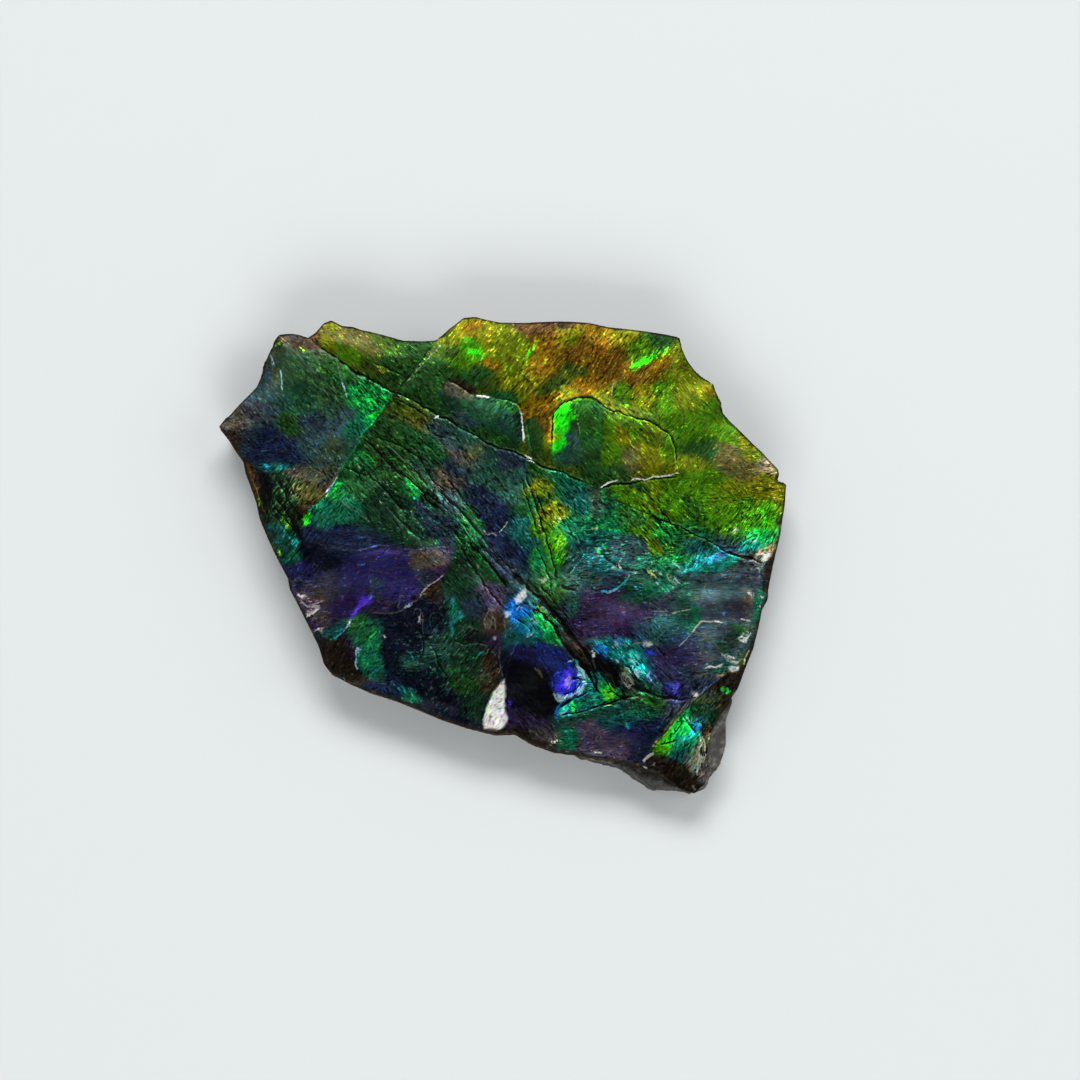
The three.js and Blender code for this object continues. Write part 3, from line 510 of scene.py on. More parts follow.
# Facets that end in a clean edge: ink, strength, softness of the edge in squares, outline.
FACETS = [
    ("black", 0.85, 1, "730,552 745,555 752,551 757,556 760,562 755,562 749,559 740,557"),
    ("peat", 0.85, 1, "771,553 779,545 777,562 772,578 768,590 760,594 761,582 762,566"),
    ("peat", 0.8, 1, "762,598 760,606 757,618 755,631 749,641 745,652 741,662 752,662 770,610"),
    ("peat", 0.7, 1.2, "739,664 735,674 722,680 708,687 698,698 706,706 724,706 748,668"),
    ("black", 0.75, 1.2, "282,495 288,504 296,516 303,529 306,543 299,540 293,528 285,514 280,502"),
    ("ink", 0.75, 1.3, "312,541 330,545 350,549 367,548 385,543 400,547 420,548 433,545 456,546 456,550 "
     "433,549 420,552 400,551 385,547 367,552 350,554 330,550 312,546"),
    ("drab", 0.6, 1.5, "293,486 305,480 319,488 315,502 306,512 298,503"),
    ("gloom", 0.75, 2, "722,600 748,598 750,618 738,622 722,616"),
    ("gloom", 0.6, 2, "714,624 734,622 736,642 726,650 716,640"),
    ("flash", 0.6, 1.2, "656,744 662,735 669,727 674,731 671,737 662,741"),
    ("spring", 0.6, 1.2, "673,722 680,714 686,720 692,729 684,735 676,734"),
    ("celadon", 0.6, 1.4, "697,737 706,732 709,744 703,758 697,769 690,772 693,756"),
    ("tan", 0.6, 1.2, "703,731 710,729 713,736 708,741"),
    ("lagoon", 0.6, 1.4, "672,738 684,734 691,732 688,740 678,745 670,748"),
    ("taupe", 0.7, 1.4, "304,598 318,586 330,590 330,602 314,602"),
    ("taupe", 0.6, 1.2, "308,611 322,607 334,616 334,627 324,626 312,619"),
    ("ink", 0.7, 1, "296,582 304,580 306,590 300,594"),
    ("violet", 0.75, 1, "362,597 367,597 372,594 376,598 374,602 369,605 365,604 361,609 357,614 353,619 "
     "351,617 354,611 358,606 361,602"),
    ("dusk", 0.6, 1.4, "419,570 440,572 430,584 422,590 416,580"),
    ("umber", 0.6, 1.2, "424,597 430,588 442,582 446,594 442,602 430,602"),
    ("ink", 0.7, 1.4, "427,606 440,604 449,612 448,628 436,632 426,624"),
    ("black", 0.7, 1.4, "464,630 472,627 482,630 492,634 488,640 474,641 464,638"),
    ("taupe", 0.6, 1.2, "484,626 484,616 489,609 496,610 498,620 494,630"),
    ("lagoon", 0.55, 1.2, "451,597 456,598 458,606 464,614 463,619 457,620 455,628 456,634 452,637 "
     "450,620"),
    ("peat", 0.85, 1.2, "560,628 572,634 584,648 594,664 599,686 590,678 578,661 566,645"),
    ("plum", 0.75, 2, "578,602 596,594 620,600 648,607 654,618 640,631 612,636 592,641 580,628"),
    ("teal", 0.8, 1.5, "598,650 604,641 620,639 634,643 640,650 646,664 645,677 640,674 630,668 622,661 "
     "610,659"),
    ("azure", 0.75, 1, "602,654 604,648 608,646 609,652 606,657"),
    ("lagoon", 0.8, 1, "607,655 610,646 618,646 626,650 626,656 616,661"),
    ("turquoise", 0.85, 1, "628,649 635,649 639,655 638,660 630,660 628,655"),
    ("turquoise", 0.9, 1, "624,659 634,659 643,662 646,669 642,678 637,676 632,669 627,664"),
    ("cyan", 0.8, 1, "639,660 644,661 645,666 640,667"),
    ("sky", 0.85, 1, "643,676 646,671 650,670 652,678 648,680"),
    ("navy", 0.7, 1.3, "641,647 654,647 656,655 644,657"),
    ("blue", 0.7, 1, "643,650 652,650 653,655 645,655"),
    ("sapphire", 0.9, 1.2, "664,681 678,680 679,687 677,693 669,693 665,688"),
    ("lagoon", 0.75, 1.2, "677,568 690,559 706,551 716,545 727,551 738,557 729,565 716,572 700,571 "
     "686,574"),
    ("black", 0.8, 1.5, "506,662 518,656 534,668 547,680 555,694 556,711 530,706 512,698 505,684"),
    ("royal", 0.85, 1.5, "530,646 546,641 562,650 574,662 566,672 552,668 540,660"),
    ("indigo", 0.5, 1.5, "508,646 526,641 536,650 530,660 512,658"),
    ("blue", 0.8, 1.2, "554,691 560,677 566,668 567,660 573,664 577,672 578,682 572,690 562,692"),
    ("cobalt", 0.95, 1, "554,691 557,682 562,676 565,669 570,667 573,674 572,686 564,690"),
    # The two ice facets are painted highlights on the pale rims of the blue flash.
    ("ice", 0.6, 1, "553,692 560,692 565,695 570,694 566,699 560,701 556,698"),
    ("ice", 0.65, 1, "575,665 579,666 585,675 584,678 578,674 577,670"),
    ("teal", 0.8, 1.2, "556,709 566,700 582,695 598,700 604,704 588,710 572,714 557,714"),
    ("turquoise", 0.85, 1, "558,711 562,704 567,702 568,708 563,712"),
    ("spring", 0.85, 1, "570,700 574,699 575,705 577,708 572,711 570,706"),
    ("spring", 0.7, 1, "577,701 581,700 582,705 578,706"),
    ("teal", 0.85, 1.2, "581,694 584,684 588,674 592,680 597,692 600,701 590,702 583,699"),
    ("turquoise", 0.8, 1, "590,690 594,687 597,692 596,698 591,697"),
    ("lagoon", 0.75, 1, "587,675 590,675 593,684 590,688 587,684"),
    ("flash", 0.6, 1, "601,688 607,684 613,689 615,695 608,699 602,696"),
    ("black", 0.75, 1.4, "597,662 608,660 620,668 624,680 634,688 628,692 612,688 602,674"),
    ("celadon", 0.7, 1, "619,668 624,664 629,667 630,673 634,682 631,685 626,681 622,675"),
    ("black", 0.7, 1.2, "630,668 636,676 640,684 648,690 640,690 634,684 631,676"),
    ("dusk", 0.7, 1.2, "518,606 522,600 530,601 536,607 530,609 522,606"),
    ("azure", 0.8, 1, "513,616 516,611 521,606 528,607 530,613 522,615 518,619 514,618"),
    ("lagoon", 0.8, 1, "519,618 523,614 531,614 537,621 536,625 529,624 523,621"),
    ("azure", 0.5, 1.2, "514,621 521,622 529,628 531,633 522,633 515,628"),
    ("lagoon", 0.75, 1, "528,630 534,625 541,627 546,633 540,637 527,637 522,634"),
    ("emerald", 0.7, 1.2, "533,611 540,612 547,620 552,629 548,634 541,627 536,620"),
    ("jade", 0.5, 1.6, "350,642 360,624 376,616 386,622 384,646 378,664 366,677 360,669 361,650"),
    ("peat", 0.8, 1.4, "323,640 340,638 354,648 357,672 341,677 327,668"),
    ("taupe", 0.8, 1.2, "443,391 446,382 455,384 466,391 477,398 470,401 452,398"),
    ("leaf", 0.9, 1, "613,386 621,382 630,385 633,395 629,405 619,407 612,399"),
    ("tan", 0.6, 1.2, "759,456 769,461 779,470 776,478 764,474 757,463"),
    ("cream", 0.5, 1.2, "750,552 771,549 769,560 753,561"),
    ("grass", 0.5, 1.4, "738,515 750,511 756,516 748,527 739,526"),
    ("forest", 0.5, 1.6, "526,422 534,418 543,430 546,452 534,452 527,440"),
    ("peat", 0.6, 1.2, "646,758 660,752 680,758 682,772 664,776 650,768"),
    ("teal", 0.4, 1.5, "566,481 590,488 612,500 640,512 652,522 630,530 600,528 572,516 562,500"),
    ("slate", 0.5, 1.8, "606,540 626,534 648,542 650,556 632,568 612,562 602,552"),
    ("bottle", 0.65, 1.6, "569,404 578,399 592,399 602,408 605,428 600,448 586,452 577,440 578,420 "
     "571,411"),
    ("moss", 0.5, 1.6, "598,394 630,402 668,418 678,440 668,430 650,421 625,413 606,405"),
    ("moss", 0.45, 2, "602,408 622,414 648,424 668,440 673,458 660,454 640,434 618,426"),
    ("jade", 0.5, 2, "531,557 546,551 560,553 562,584 548,590 536,578"),
    ("pine", 0.55, 2, "563,557 580,552 594,554 600,568 592,584 570,588 562,574"),
    ("bottle", 0.45, 2, "462,397 490,400 505,410 500,425 480,427 462,414"),
    ("khaki", 0.3, 2.5, "402,399 425,405 434,418 424,429 408,421"),
    ("grass", 0.3, 3, "655,490 700,484 752,496 757,530 740,544 700,533 668,521"),
    ("emerald", 0.3, 3, "655,553 690,548 693,566 668,580 655,574"),
    ("lagoon", 0.25, 3, "630,622 660,614 688,618 692,638 664,648 634,640"),
    ("pewter", 0.3, 3, "692,650 718,652 720,672 702,682 690,668"),
    ("celadon", 0.3, 2.5, "696,691 710,685 722,690 716,708 702,711"),
    ("lead", 0.5, 2, "528,723 546,724 562,729 562,742 546,740 530,736"),
    ("taupe", 0.5, 1.8, "586,486 598,490 608,500 604,515 594,525 588,515 590,500"),
    ("dusk", 0.5, 2, "564,546 580,538 598,548 602,562 590,574 568,570"),
    ("bottle", 0.4, 4, "282,354 316,352 338,374 346,398 340,420 318,414 300,416 286,398"),
    ("sage", 0.5, 3, "326,434 352,442 344,466 326,486 304,480 308,466 322,456"),
]
for ink, strength, soft, outline in FACETS:
    paint = laid_on(paint, INKS[ink], strength * inside(outline, soft))

# Flashes and stains laid over the ground, the pale cream and ice ones painted glints: ink, column, row,
# length, width, turn, strength, and how broken up.
MARKS = [
    ("spring", 368, 402, 9, 6, -50, 0.7, 1.1), ("flash", 375, 416, 5, 3, 50, 0.6, 0.9),
    ("spring", 384, 398, 5, 3.5, -50, 0.5, 1), ("emerald", 360, 391, 12, 6, -50, 0.5, 1.2),
    ("grass", 352, 374, 9, 3, -42, 0.3, 1.3), ("cream", 253, 418, 9, 4, 20, 0.3, 1.6),
    ("tan", 286, 337, 9, 3, 0, 0.25, 1.3), ("lime", 278, 346, 6, 1.8, 40, 0.6, 0.8),
    ("lime", 303, 351, 6, 1.6, -20, 0.4, 1.2), ("yellow", 327, 325, 6, 2, -25, 0.4, 1.2),
    ("lime", 340, 331, 12, 1.6, -30, 0.3, 1.1), ("brown", 374, 353, 10, 4, -30, 0.4, 1.1),
    ("lime", 380, 360, 9, 1.6, -60, 0.4, 1.2), ("lime", 397, 367, 9, 1.4, -75, 0.4, 1.2),
    ("gold", 385, 371, 7, 3, -40, 0.4, 1.2), ("khaki", 416, 421, 12, 4, -50, 0.5, 1.3),
    ("emerald", 357, 460, 8, 1.8, 48, 0.5, 1), ("spring", 338, 489, 9, 2.8, 52, 0.85, 0.7),
    ("ice", 329, 493, 5, 1.6, 52, 0.7, 0.4), ("turquoise", 318, 506, 8, 2.2, 50, 0.7, 0.6),
    ("emerald", 360, 468, 10, 4, -50, 0.35, 1.3), ("spring", 412, 486, 7, 3.5, -50, 0.7, 1),
    ("turquoise", 414, 500, 5, 4, 0, 0.35, 1.2), ("lagoon", 282, 468, 12, 2, 0, 0.7, 1.2),
    ("cyan", 268, 466, 3, 1.6, 0, 0.7, 0.6), ("tan", 257, 487, 2.2, 7, 15, 0.5, 1.3),
    ("lime", 261, 503, 1.8, 6, 18, 0.75, 0.8), ("lime", 290, 524, 5, 3.5, 40, 0.8, 0.9),
    ("flash", 309, 520, 6, 2.8, 60, 0.95, 0.5), ("cyan", 285, 529, 4, 2.6, 20, 0.65, 0.9),
    ("turquoise", 296, 541, 4, 8, 20, 0.6, 1.1), ("lime", 284, 513, 5, 3, 50, 0.5, 1.2),
    ("lime", 280, 551, 3, 5, 20, 0.4, 1.2), ("olive", 299, 478, 8, 2, 50, 0.3, 1.4),
    ("flash", 476, 352, 7, 4.5, 0, 0.75, 1), ("grass", 468, 345, 8, 4, 20, 0.4, 1.2),
    ("yellow", 489, 335, 3, 8, 0, 0.55, 1.2), ("yellow", 492, 352, 7, 1.4, 8, 0.6, 1),
    ("amber", 470, 327, 11, 3.5, 15, 0.5, 1.2), ("orange", 488, 368, 9, 2.6, -25, 0.5, 1),
    ("lime", 531, 349, 12, 2, 57, 0.8, 0.8), ("flash", 527, 354, 5, 2, 57, 0.5, 0.7),
    ("orange", 546, 362, 11, 5, 25, 0.45, 1.1), ("lime", 510, 372, 10, 3.5, 60, 0.4, 1.3),
    ("yellow", 507, 381, 5, 2.2, 60, 0.5, 1.1), ("rust", 535, 327, 20, 4, 0, 0.5, 1.3),
    ("rust", 585, 345, 16, 14, 30, 0.5, 1.6), ("orange", 600, 352, 22, 12, 30, 0.35, 1.6),
    ("lime", 627, 405, 5, 2, 20, 0.7, 1.1), ("gold", 604, 331, 14, 5, 0, 0.35, 1.6),
    ("flash", 648, 360, 17, 2.8, 30, 0.85, 1), ("flash", 636, 366, 6, 3, 40, 0.6, 0.9),
    ("lime", 664, 353, 7, 2.2, 35, 0.7, 1), ("orange", 650, 373, 15, 5, 25, 0.6, 1.2),
    ("orange", 677, 359, 7, 2.2, 0, 0.6, 1.1), ("orange", 588, 383, 13, 5, 20, 0.6, 1.5),
    ("orange", 640, 388, 14, 7, 0, 0.45, 1.4), ("lime", 672, 383, 3, 12, -10, 0.6, 1.3),
    ("lime", 662, 410, 10, 4, -50, 0.35, 1.5), ("rust", 706, 392, 7, 5, -50, 0.6, 1.1),
    ("lime", 716, 434, 10, 3, -45, 0.4, 1.4), ("lime", 756, 458, 5, 6, -50, 0.5, 1.1),
    ("cream", 769, 465, 6, 4, -50, 0.45, 1), ("gold", 777, 491, 3, 6, 0, 0.4, 1.2),
    ("yellow", 772, 484, 8, 1.6, 5, 0.4, 0.9), ("lime", 744, 518, 6, 5, 50, 0.7, 1.1),
    ("flash", 765, 520, 3.5, 9, -12, 0.65, 1.1), ("spring", 760, 534, 7, 4, 35, 0.8, 0.9),
    ("cream", 733, 531, 7, 3, 10, 0.6, 1.3), ("turquoise", 746, 546, 7, 3.2, 20, 0.85, 0.8),
    ("ice", 751, 541, 4, 2, 30, 0.6, 0.8), ("cream", 764, 557, 7, 2.2, 8, 0.7, 0.8),
    ("tan", 762, 549, 10, 4, 20, 0.5, 1), ("gold", 551, 432, 1.8, 13, 0, 0.9, 0.6),
    ("yellow", 553, 440, 1.4, 7, 0, 0.6, 0.7), ("orange", 541, 411, 12, 4, 35, 0.7, 1),
    ("gold", 556, 400, 9, 2.4, 40, 0.6, 1.1), ("orange", 566, 391, 13, 3, 20, 0.5, 1.3),
    ("flash", 559, 428, 6, 13, 4, 0.95, 0.7), ("flash", 566, 413, 6, 6, 20, 0.75, 1),
    ("lime", 557, 437, 2.2, 6, 0, 0.4, 1), ("slate", 571, 438, 6, 11, 30, 0.75, 0.6),
    ("lime", 630, 430, 9, 4, -30, 0.35, 1.5), ("lime", 648, 440, 12, 5, -35, 0.5, 1.5),
    ("lime", 662, 452, 5, 9, 0, 0.4, 1.4), ("lime", 641, 492, 9, 2.6, -60, 0.5, 1.3),
    ("gold", 658, 499, 8, 3, -45, 0.4, 1.3), ("grass", 664, 522, 10, 4, -50, 0.5, 1.3),
    ("tan", 553, 521, 8, 4.5, -40, 0.35, 1.4), ("lime", 546, 494, 12, 3, -60, 0.35, 1.3),
    ("cream", 556, 520, 6, 1.4, 12, 0.45, 1.1), ("lime", 560, 546, 3.6, 12, -6, 0.85, 0.8),
    ("flash", 556, 560, 2.6, 8, -8, 0.5, 0.9), ("ash", 592, 499, 8, 6, 0, 0.4, 1.3),
    ("lagoon", 594, 566, 9, 4, 0, 0.6, 1.2), ("turquoise", 603, 546, 8, 3, 20, 0.35, 1.5),
    ("lime", 668, 549, 10, 2, -52, 0.6, 1.1), ("grass", 655, 553, 10, 3, -50, 0.5, 1.1),
    ("cyan", 702, 560, 13, 4.5, 25, 0.75, 1.1), ("sky", 719, 556, 10, 3.5, 30, 0.75, 1),
    ("turquoise", 690, 568, 10, 3, 10, 0.7, 1.1), ("spring", 678, 559, 8, 3.5, -20, 0.5, 1.2),
    ("lime", 652, 573, 5, 2, -20, 0.6, 1.1), ("tan", 670, 576, 9, 4, -60, 0.35, 1.4),
    ("cream", 655, 568, 5, 1.6, -30, 0.4, 1.3), ("turquoise", 623, 582, 8, 1.6, 38, 0.4, 1),
    ("cyan", 637, 588, 5, 3.5, 30, 0.6, 1.2), ("emerald", 686, 589, 10, 5, -50, 0.35, 1.5),
    ("lagoon", 571, 603, 5, 4, 20, 0.6, 1.3), ("lilac", 577, 622, 5, 5, 0, 0.45, 1.3),
    ("sky", 722, 612, 3, 1.6, 0, 0.5, 0.8), ("azure", 522, 611, 6, 4, -30, 0.4, 1.1),
    ("cyan", 524, 626, 7, 3, -15, 0.6, 1.1), ("spring", 544, 624, 8, 3.6, -50, 0.7, 1.2),
    ("lagoon", 536, 634, 10, 2.6, -20, 0.6, 1.1), ("violet", 566, 681, 4, 6, -30, 0.7, 0.5),
    ("iris", 566, 680, 4.2, 7, -30, 0.9, 0.5), ("ice", 582, 681, 1.6, 3, 0, 0.6, 0.8),
    ("ice", 566, 696, 7, 1.8, 15, 0.75, 0.9), ("cyan", 581, 690, 3, 2, -20, 0.5, 1),
    ("turquoise", 566, 706, 4, 3, 25, 0.4, 0.9), ("spring", 596, 699, 4, 2, 10, 0.6, 1),
    ("flash", 606, 692, 4, 3, -30, 0.6, 1), ("lime", 609, 697, 4, 2.4, 0, 0.6, 0.9),
    ("azure", 557, 712, 2, 5, 20, 0.7, 0.7), ("violet", 510, 703, 2.4, 5, 0, 0.22, 0.9),
    ("plum", 519, 714, 12, 6, 10, 0.6, 0.6), ("azure", 600, 648, 7, 2.6, 15, 0.6, 1),
    ("turquoise", 616, 645, 9, 2.4, 0, 0.5, 1.2), ("lilac", 655, 676, 2, 2, 0, 0.5, 0.7),
    ("blue", 650, 652, 7, 4, 0, 0.45, 1), ("lilac", 672, 689, 4, 3, 0, 0.3, 0.6),
    ("cyan", 625, 725, 4, 2.4, 0, 0.5, 1.1), ("emerald", 646, 700, 9, 2.4, 15, 0.35, 1.4),
    ("lilac", 551, 733, 5, 3.4, 10, 0.6, 1.1), ("cream", 555, 738, 5, 2.2, 40, 0.5, 1.3),
    ("turquoise", 568, 732, 3, 7, 0, 0.3, 1.3), ("cream", 597, 751, 4, 1.6, 10, 0.5, 0.9),
    ("sky", 372, 579, 3, 6, -15, 0.45, 1), ("lagoon", 382, 584, 6, 6, 20, 0.2, 1.6),
    ("lagoon", 339, 634, 9, 2.2, 40, 0.6, 1), ("emerald", 372, 629, 8, 6, 40, 0.25, 1.4),
    ("emerald", 366, 648, 6, 3.5, 40, 0.5, 1.4), ("emerald", 368, 660, 6, 5, 0, 0.35, 1.4),
    ("lagoon", 378, 668, 8, 5, 0, 0.4, 1.3), ("lagoon", 412, 655, 6, 5, 0, 0.4, 1.6),
    ("lagoon", 403, 688, 8, 1.6, -45, 0.6, 1), ("emerald", 462, 615, 10, 2, 10, 0.3, 1.4),
    ("emerald", 476, 654, 9, 3.4, 40, 0.45, 1.5), ("leaf", 460, 674, 5, 12, -15, 0.4, 1.6),
    ("jade", 440, 668, 14, 10, 0, 0.3, 1.7), ("tan", 497, 665, 3, 14, 8, 0.3, 1.3),
    ("salmon", 494, 615, 4, 9, 0, 0.25, 1.7), ("emerald", 533, 563, 8, 5, -50, 0.3, 1.4),
    ("ash", 516, 572, 6, 4, 0, 0.45, 1.4), ("sky", 425, 539, 5, 1.4, 15, 0.5, 1.3),
    ("emerald", 462, 540, 16, 7, -48, 0.35, 1.5), ("spring", 478, 555, 8, 2.6, -50, 0.35, 1.5),
    ("emerald", 440, 455, 16, 4, -40, 0.25, 1.5), ("tan", 464, 448, 9, 5, -30, 0.3, 1.4),
    ("tan", 444, 480, 8, 6, -40, 0.4, 1.3), ("spring", 664, 735, 6, 3, 55, 0.7, 1),
    ("flash", 667, 739, 6, 3.2, 55, 0.9, 0.8), ("spring", 676, 724, 9, 3.6, 52, 0.9, 0.8),
    ("turquoise", 687, 734, 8, 3, 52, 0.8, 0.9), ("cyan", 692, 728, 6, 2.6, 52, 0.8, 0.9),
    ("brown", 670, 720, 14, 1.6, 52, 0.6, 0.9), ("gold", 656, 740, 8, 1.4, 58, 0.4, 0.8),
    ("drab", 690, 702, 14, 2.4, 42, 0.6, 1), ("drab", 716, 678, 12, 2.4, 42, 0.5, 1.1),
    ("spring", 722, 690, 3, 3.6, 0, 0.6, 1.2), ("emerald", 711, 700, 6, 3, 60, 0.45, 1.5),
    ("lagoon", 708, 720, 3, 7, 20, 0.35, 1.3), ("emerald", 690, 752, 4, 7, -12, 0.4, 1.4),
    ("lime", 745, 634, 5, 5, 20, 0.35, 1.4), ("cream", 744, 632, 4, 4, 30, 0.5, 1.5),
    ("turquoise", 755, 600, 2.2, 14, -4, 0.5, 1.4), ("cream", 751, 595, 3, 4, 0, 0.45, 1.5),
    ("jade", 716, 668, 9, 2, 35, 0.7, 1), ("umber", 486, 672, 6, 14, 0, 0.5, 1),
]
# Marks that are whole change the ground. Broken ones go on a second coat, the flash, which the material lets
# through in fine flecks: its colour, and the share of the surface that it covers. The flash holds the nacre's
# colour flecks and painted glints.
# Where no mark lies, the flash is a brighter copy of the ground: painted glints in the ground's own hue.
flash = np.clip(paint * 1.5 + np.array([0.01, 0.04, 0.02]), 0, 1)
flash_and_glint_share = (0.06 + 0.14 * mottle) * (0.15 + 0.85 * scratched**2)


def broken_up(cover, size, seed, low, high):
    """A mark's cover, parted into ragged bits of a given size."""
    which = np.flatnonzero(cover > 0.004)
    bits = clouds(column[which], row[which], size, seed, 2)
    cover[which] *= step_up(bits, low, high)
    return cover


MARK_SEED, FLECK_SEED = 200, 100
for number, (ink, *mark, strength, broken) in enumerate(MARKS):
    cover = patch(*mark, 1.8)
    if broken > 1:
        cover = broken_up(cover, 6, MARK_SEED + number, -0.7, 0.2)
    whole = np.clip(2 - 1.7 * broken, 0.12, 1)
    paint = laid_on(paint, INKS[ink], whole * strength * cover)
    flash = laid_on(flash, INKS[ink], np.clip(1.5 * cover, 0, 1))
    flash_and_glint_share = np.maximum(flash_and_glint_share, strength * np.clip(1.7 - 0.9 * broken, 0.25, 0.95) * cover)

# Loose flecks of other colours, strewn in small groups, the pale bone and ice ones painted glints: ink,
# share, and the oval that they lie in.
FLECKS = [
    ("gold", 0.14, 600, 355, 42, 30, 20), ("lime", 0.12, 520, 360, 40, 26, 0),
    ("lime", 0.15, 400, 355, 46, 16, -10), ("spring", 0.4, 366, 404, 18, 14, -50),
    ("lime", 0.12, 670, 400, 26, 40, 0), ("lime", 0.1, 690, 500, 70, 40, -20),
    ("tan", 0.2, 735, 460, 26, 20, -40), ("lime", 0.15, 640, 440, 34, 22, -20),
    ("lime", 0.25, 655, 505, 30, 18, -45), ("bone", 0.12, 380, 480, 40, 24, -45),
    ("emerald", 0.12, 430, 520, 60, 34, -45), ("ash", 0.2, 460, 470, 56, 32, -35),
    ("slate", 0.2, 470, 490, 60, 36, -40), ("ash", 0.4, 425, 425, 40, 18, -35),
    ("lime", 0.15, 548, 510, 12, 46, 10), ("emerald", 0.4, 600, 520, 50, 34, -10),
    ("turquoise", 0.35, 600, 555, 44, 22, 0), ("cyan", 0.4, 705, 560, 30, 12, 25),
    ("bone", 0.25, 664, 570, 24, 12, -20), ("spring", 0.4, 752, 528, 18, 24, 20),
    ("slate", 0.3, 720, 610, 40, 34, 0), ("ash", 0.3, 748, 605, 8, 50, -8),
    ("turquoise", 0.25, 626, 658, 24, 10, -30), ("emerald", 0.4, 640, 695, 36, 14, -20),
    ("spring", 0.4, 596, 694, 20, 12, 0), ("ice", 0.3, 580, 684, 10, 16, -30),
    ("cyan", 0.4, 528, 616, 18, 14, -30), ("ash", 0.12, 600, 738, 56, 18, -14),
    ("teal", 0.4, 620, 720, 40, 12, -10), ("emerald", 0.15, 455, 650, 40, 60, 0),
    ("jade", 0.2, 430, 660, 60, 40, 0), ("lead", 0.25, 450, 650, 50, 60, 0),
    ("emerald", 0.2, 370, 645, 16, 28, -20), ("blush", 0.4, 312, 605, 10, 18, 15),
    ("leaf", 0.3, 290, 495, 18, 22, 40), ("lime", 0.2, 284, 512, 12, 16, 30),
    ("tan", 0.15, 300, 480, 24, 14, 0), ("ash", 0.4, 246, 420, 22, 14, 30),
    ("slate", 0.35, 290, 410, 50, 46, 0), ("leaf", 0.35, 320, 390, 34, 30, 0),
    ("spring", 0.4, 676, 730, 20, 9, 52), ("ash", 0.4, 704, 748, 10, 24, -15),
    ("moss", 0.4, 710, 706, 14, 16, 30),
]
for number, (ink, share, *mark) in enumerate(FLECKS):
    cover = broken_up(patch(*mark, 1.5), 5, FLECK_SEED + number, 0.0, 0.3)
    flash = laid_on(flash, INKS[ink], 0.75 * cover)
    flash_and_glint_share = np.maximum(flash_and_glint_share, 0.8 * share * cover)

# The ground's own broad light and dark, and small shifts of hue.
tone = np.clip(1 + 0.15 * mottle + 0.08 * scratched * grit, 0.3, 2)
hue_drift = 0.3 * clouds(column, row, 6, 26, 3)
for coat in (paint, flash):
    coat *= tone[:, None]
    coat[:, 0] *= 1 + 0.5 * hue_drift
    coat[:, 2] *= 1 - 0.6 * hue_drift

relief = 0.012 * clouds(place[:, 0], place[:, 1], 1.1, 31, 2)
relief += scratched * (0.006 * clouds(column, row, 5, 32, 3))
dull = np.zeros(count)

# Cracks, veins and painted highlights are kept as lines that the material draws clean: how far off the
# nearest one lies, with its side as the sign, how far off in any direction, its half width in squares, and
# its strength.
FAR = 9.0
splits = np.tile([FAR, FAR, 1.0, 0.0], (count, 1))
veins_and_highlights = splits.copy()
vein_ink = np.zeros((count, 3))


def draw_line(lines, which, off, side, half_width, strength):
    """Puts a line on a sheet of lines, at the points where it is nearer than those drawn before."""
    new = np.stack(np.broadcast_arrays(off * side, off, half_width, strength), 1)
    nearer = off - half_width < lines[which, 1] - lines[which, 2]
    lines[which[nearer]] = new[nearer]
    return which[nearer]


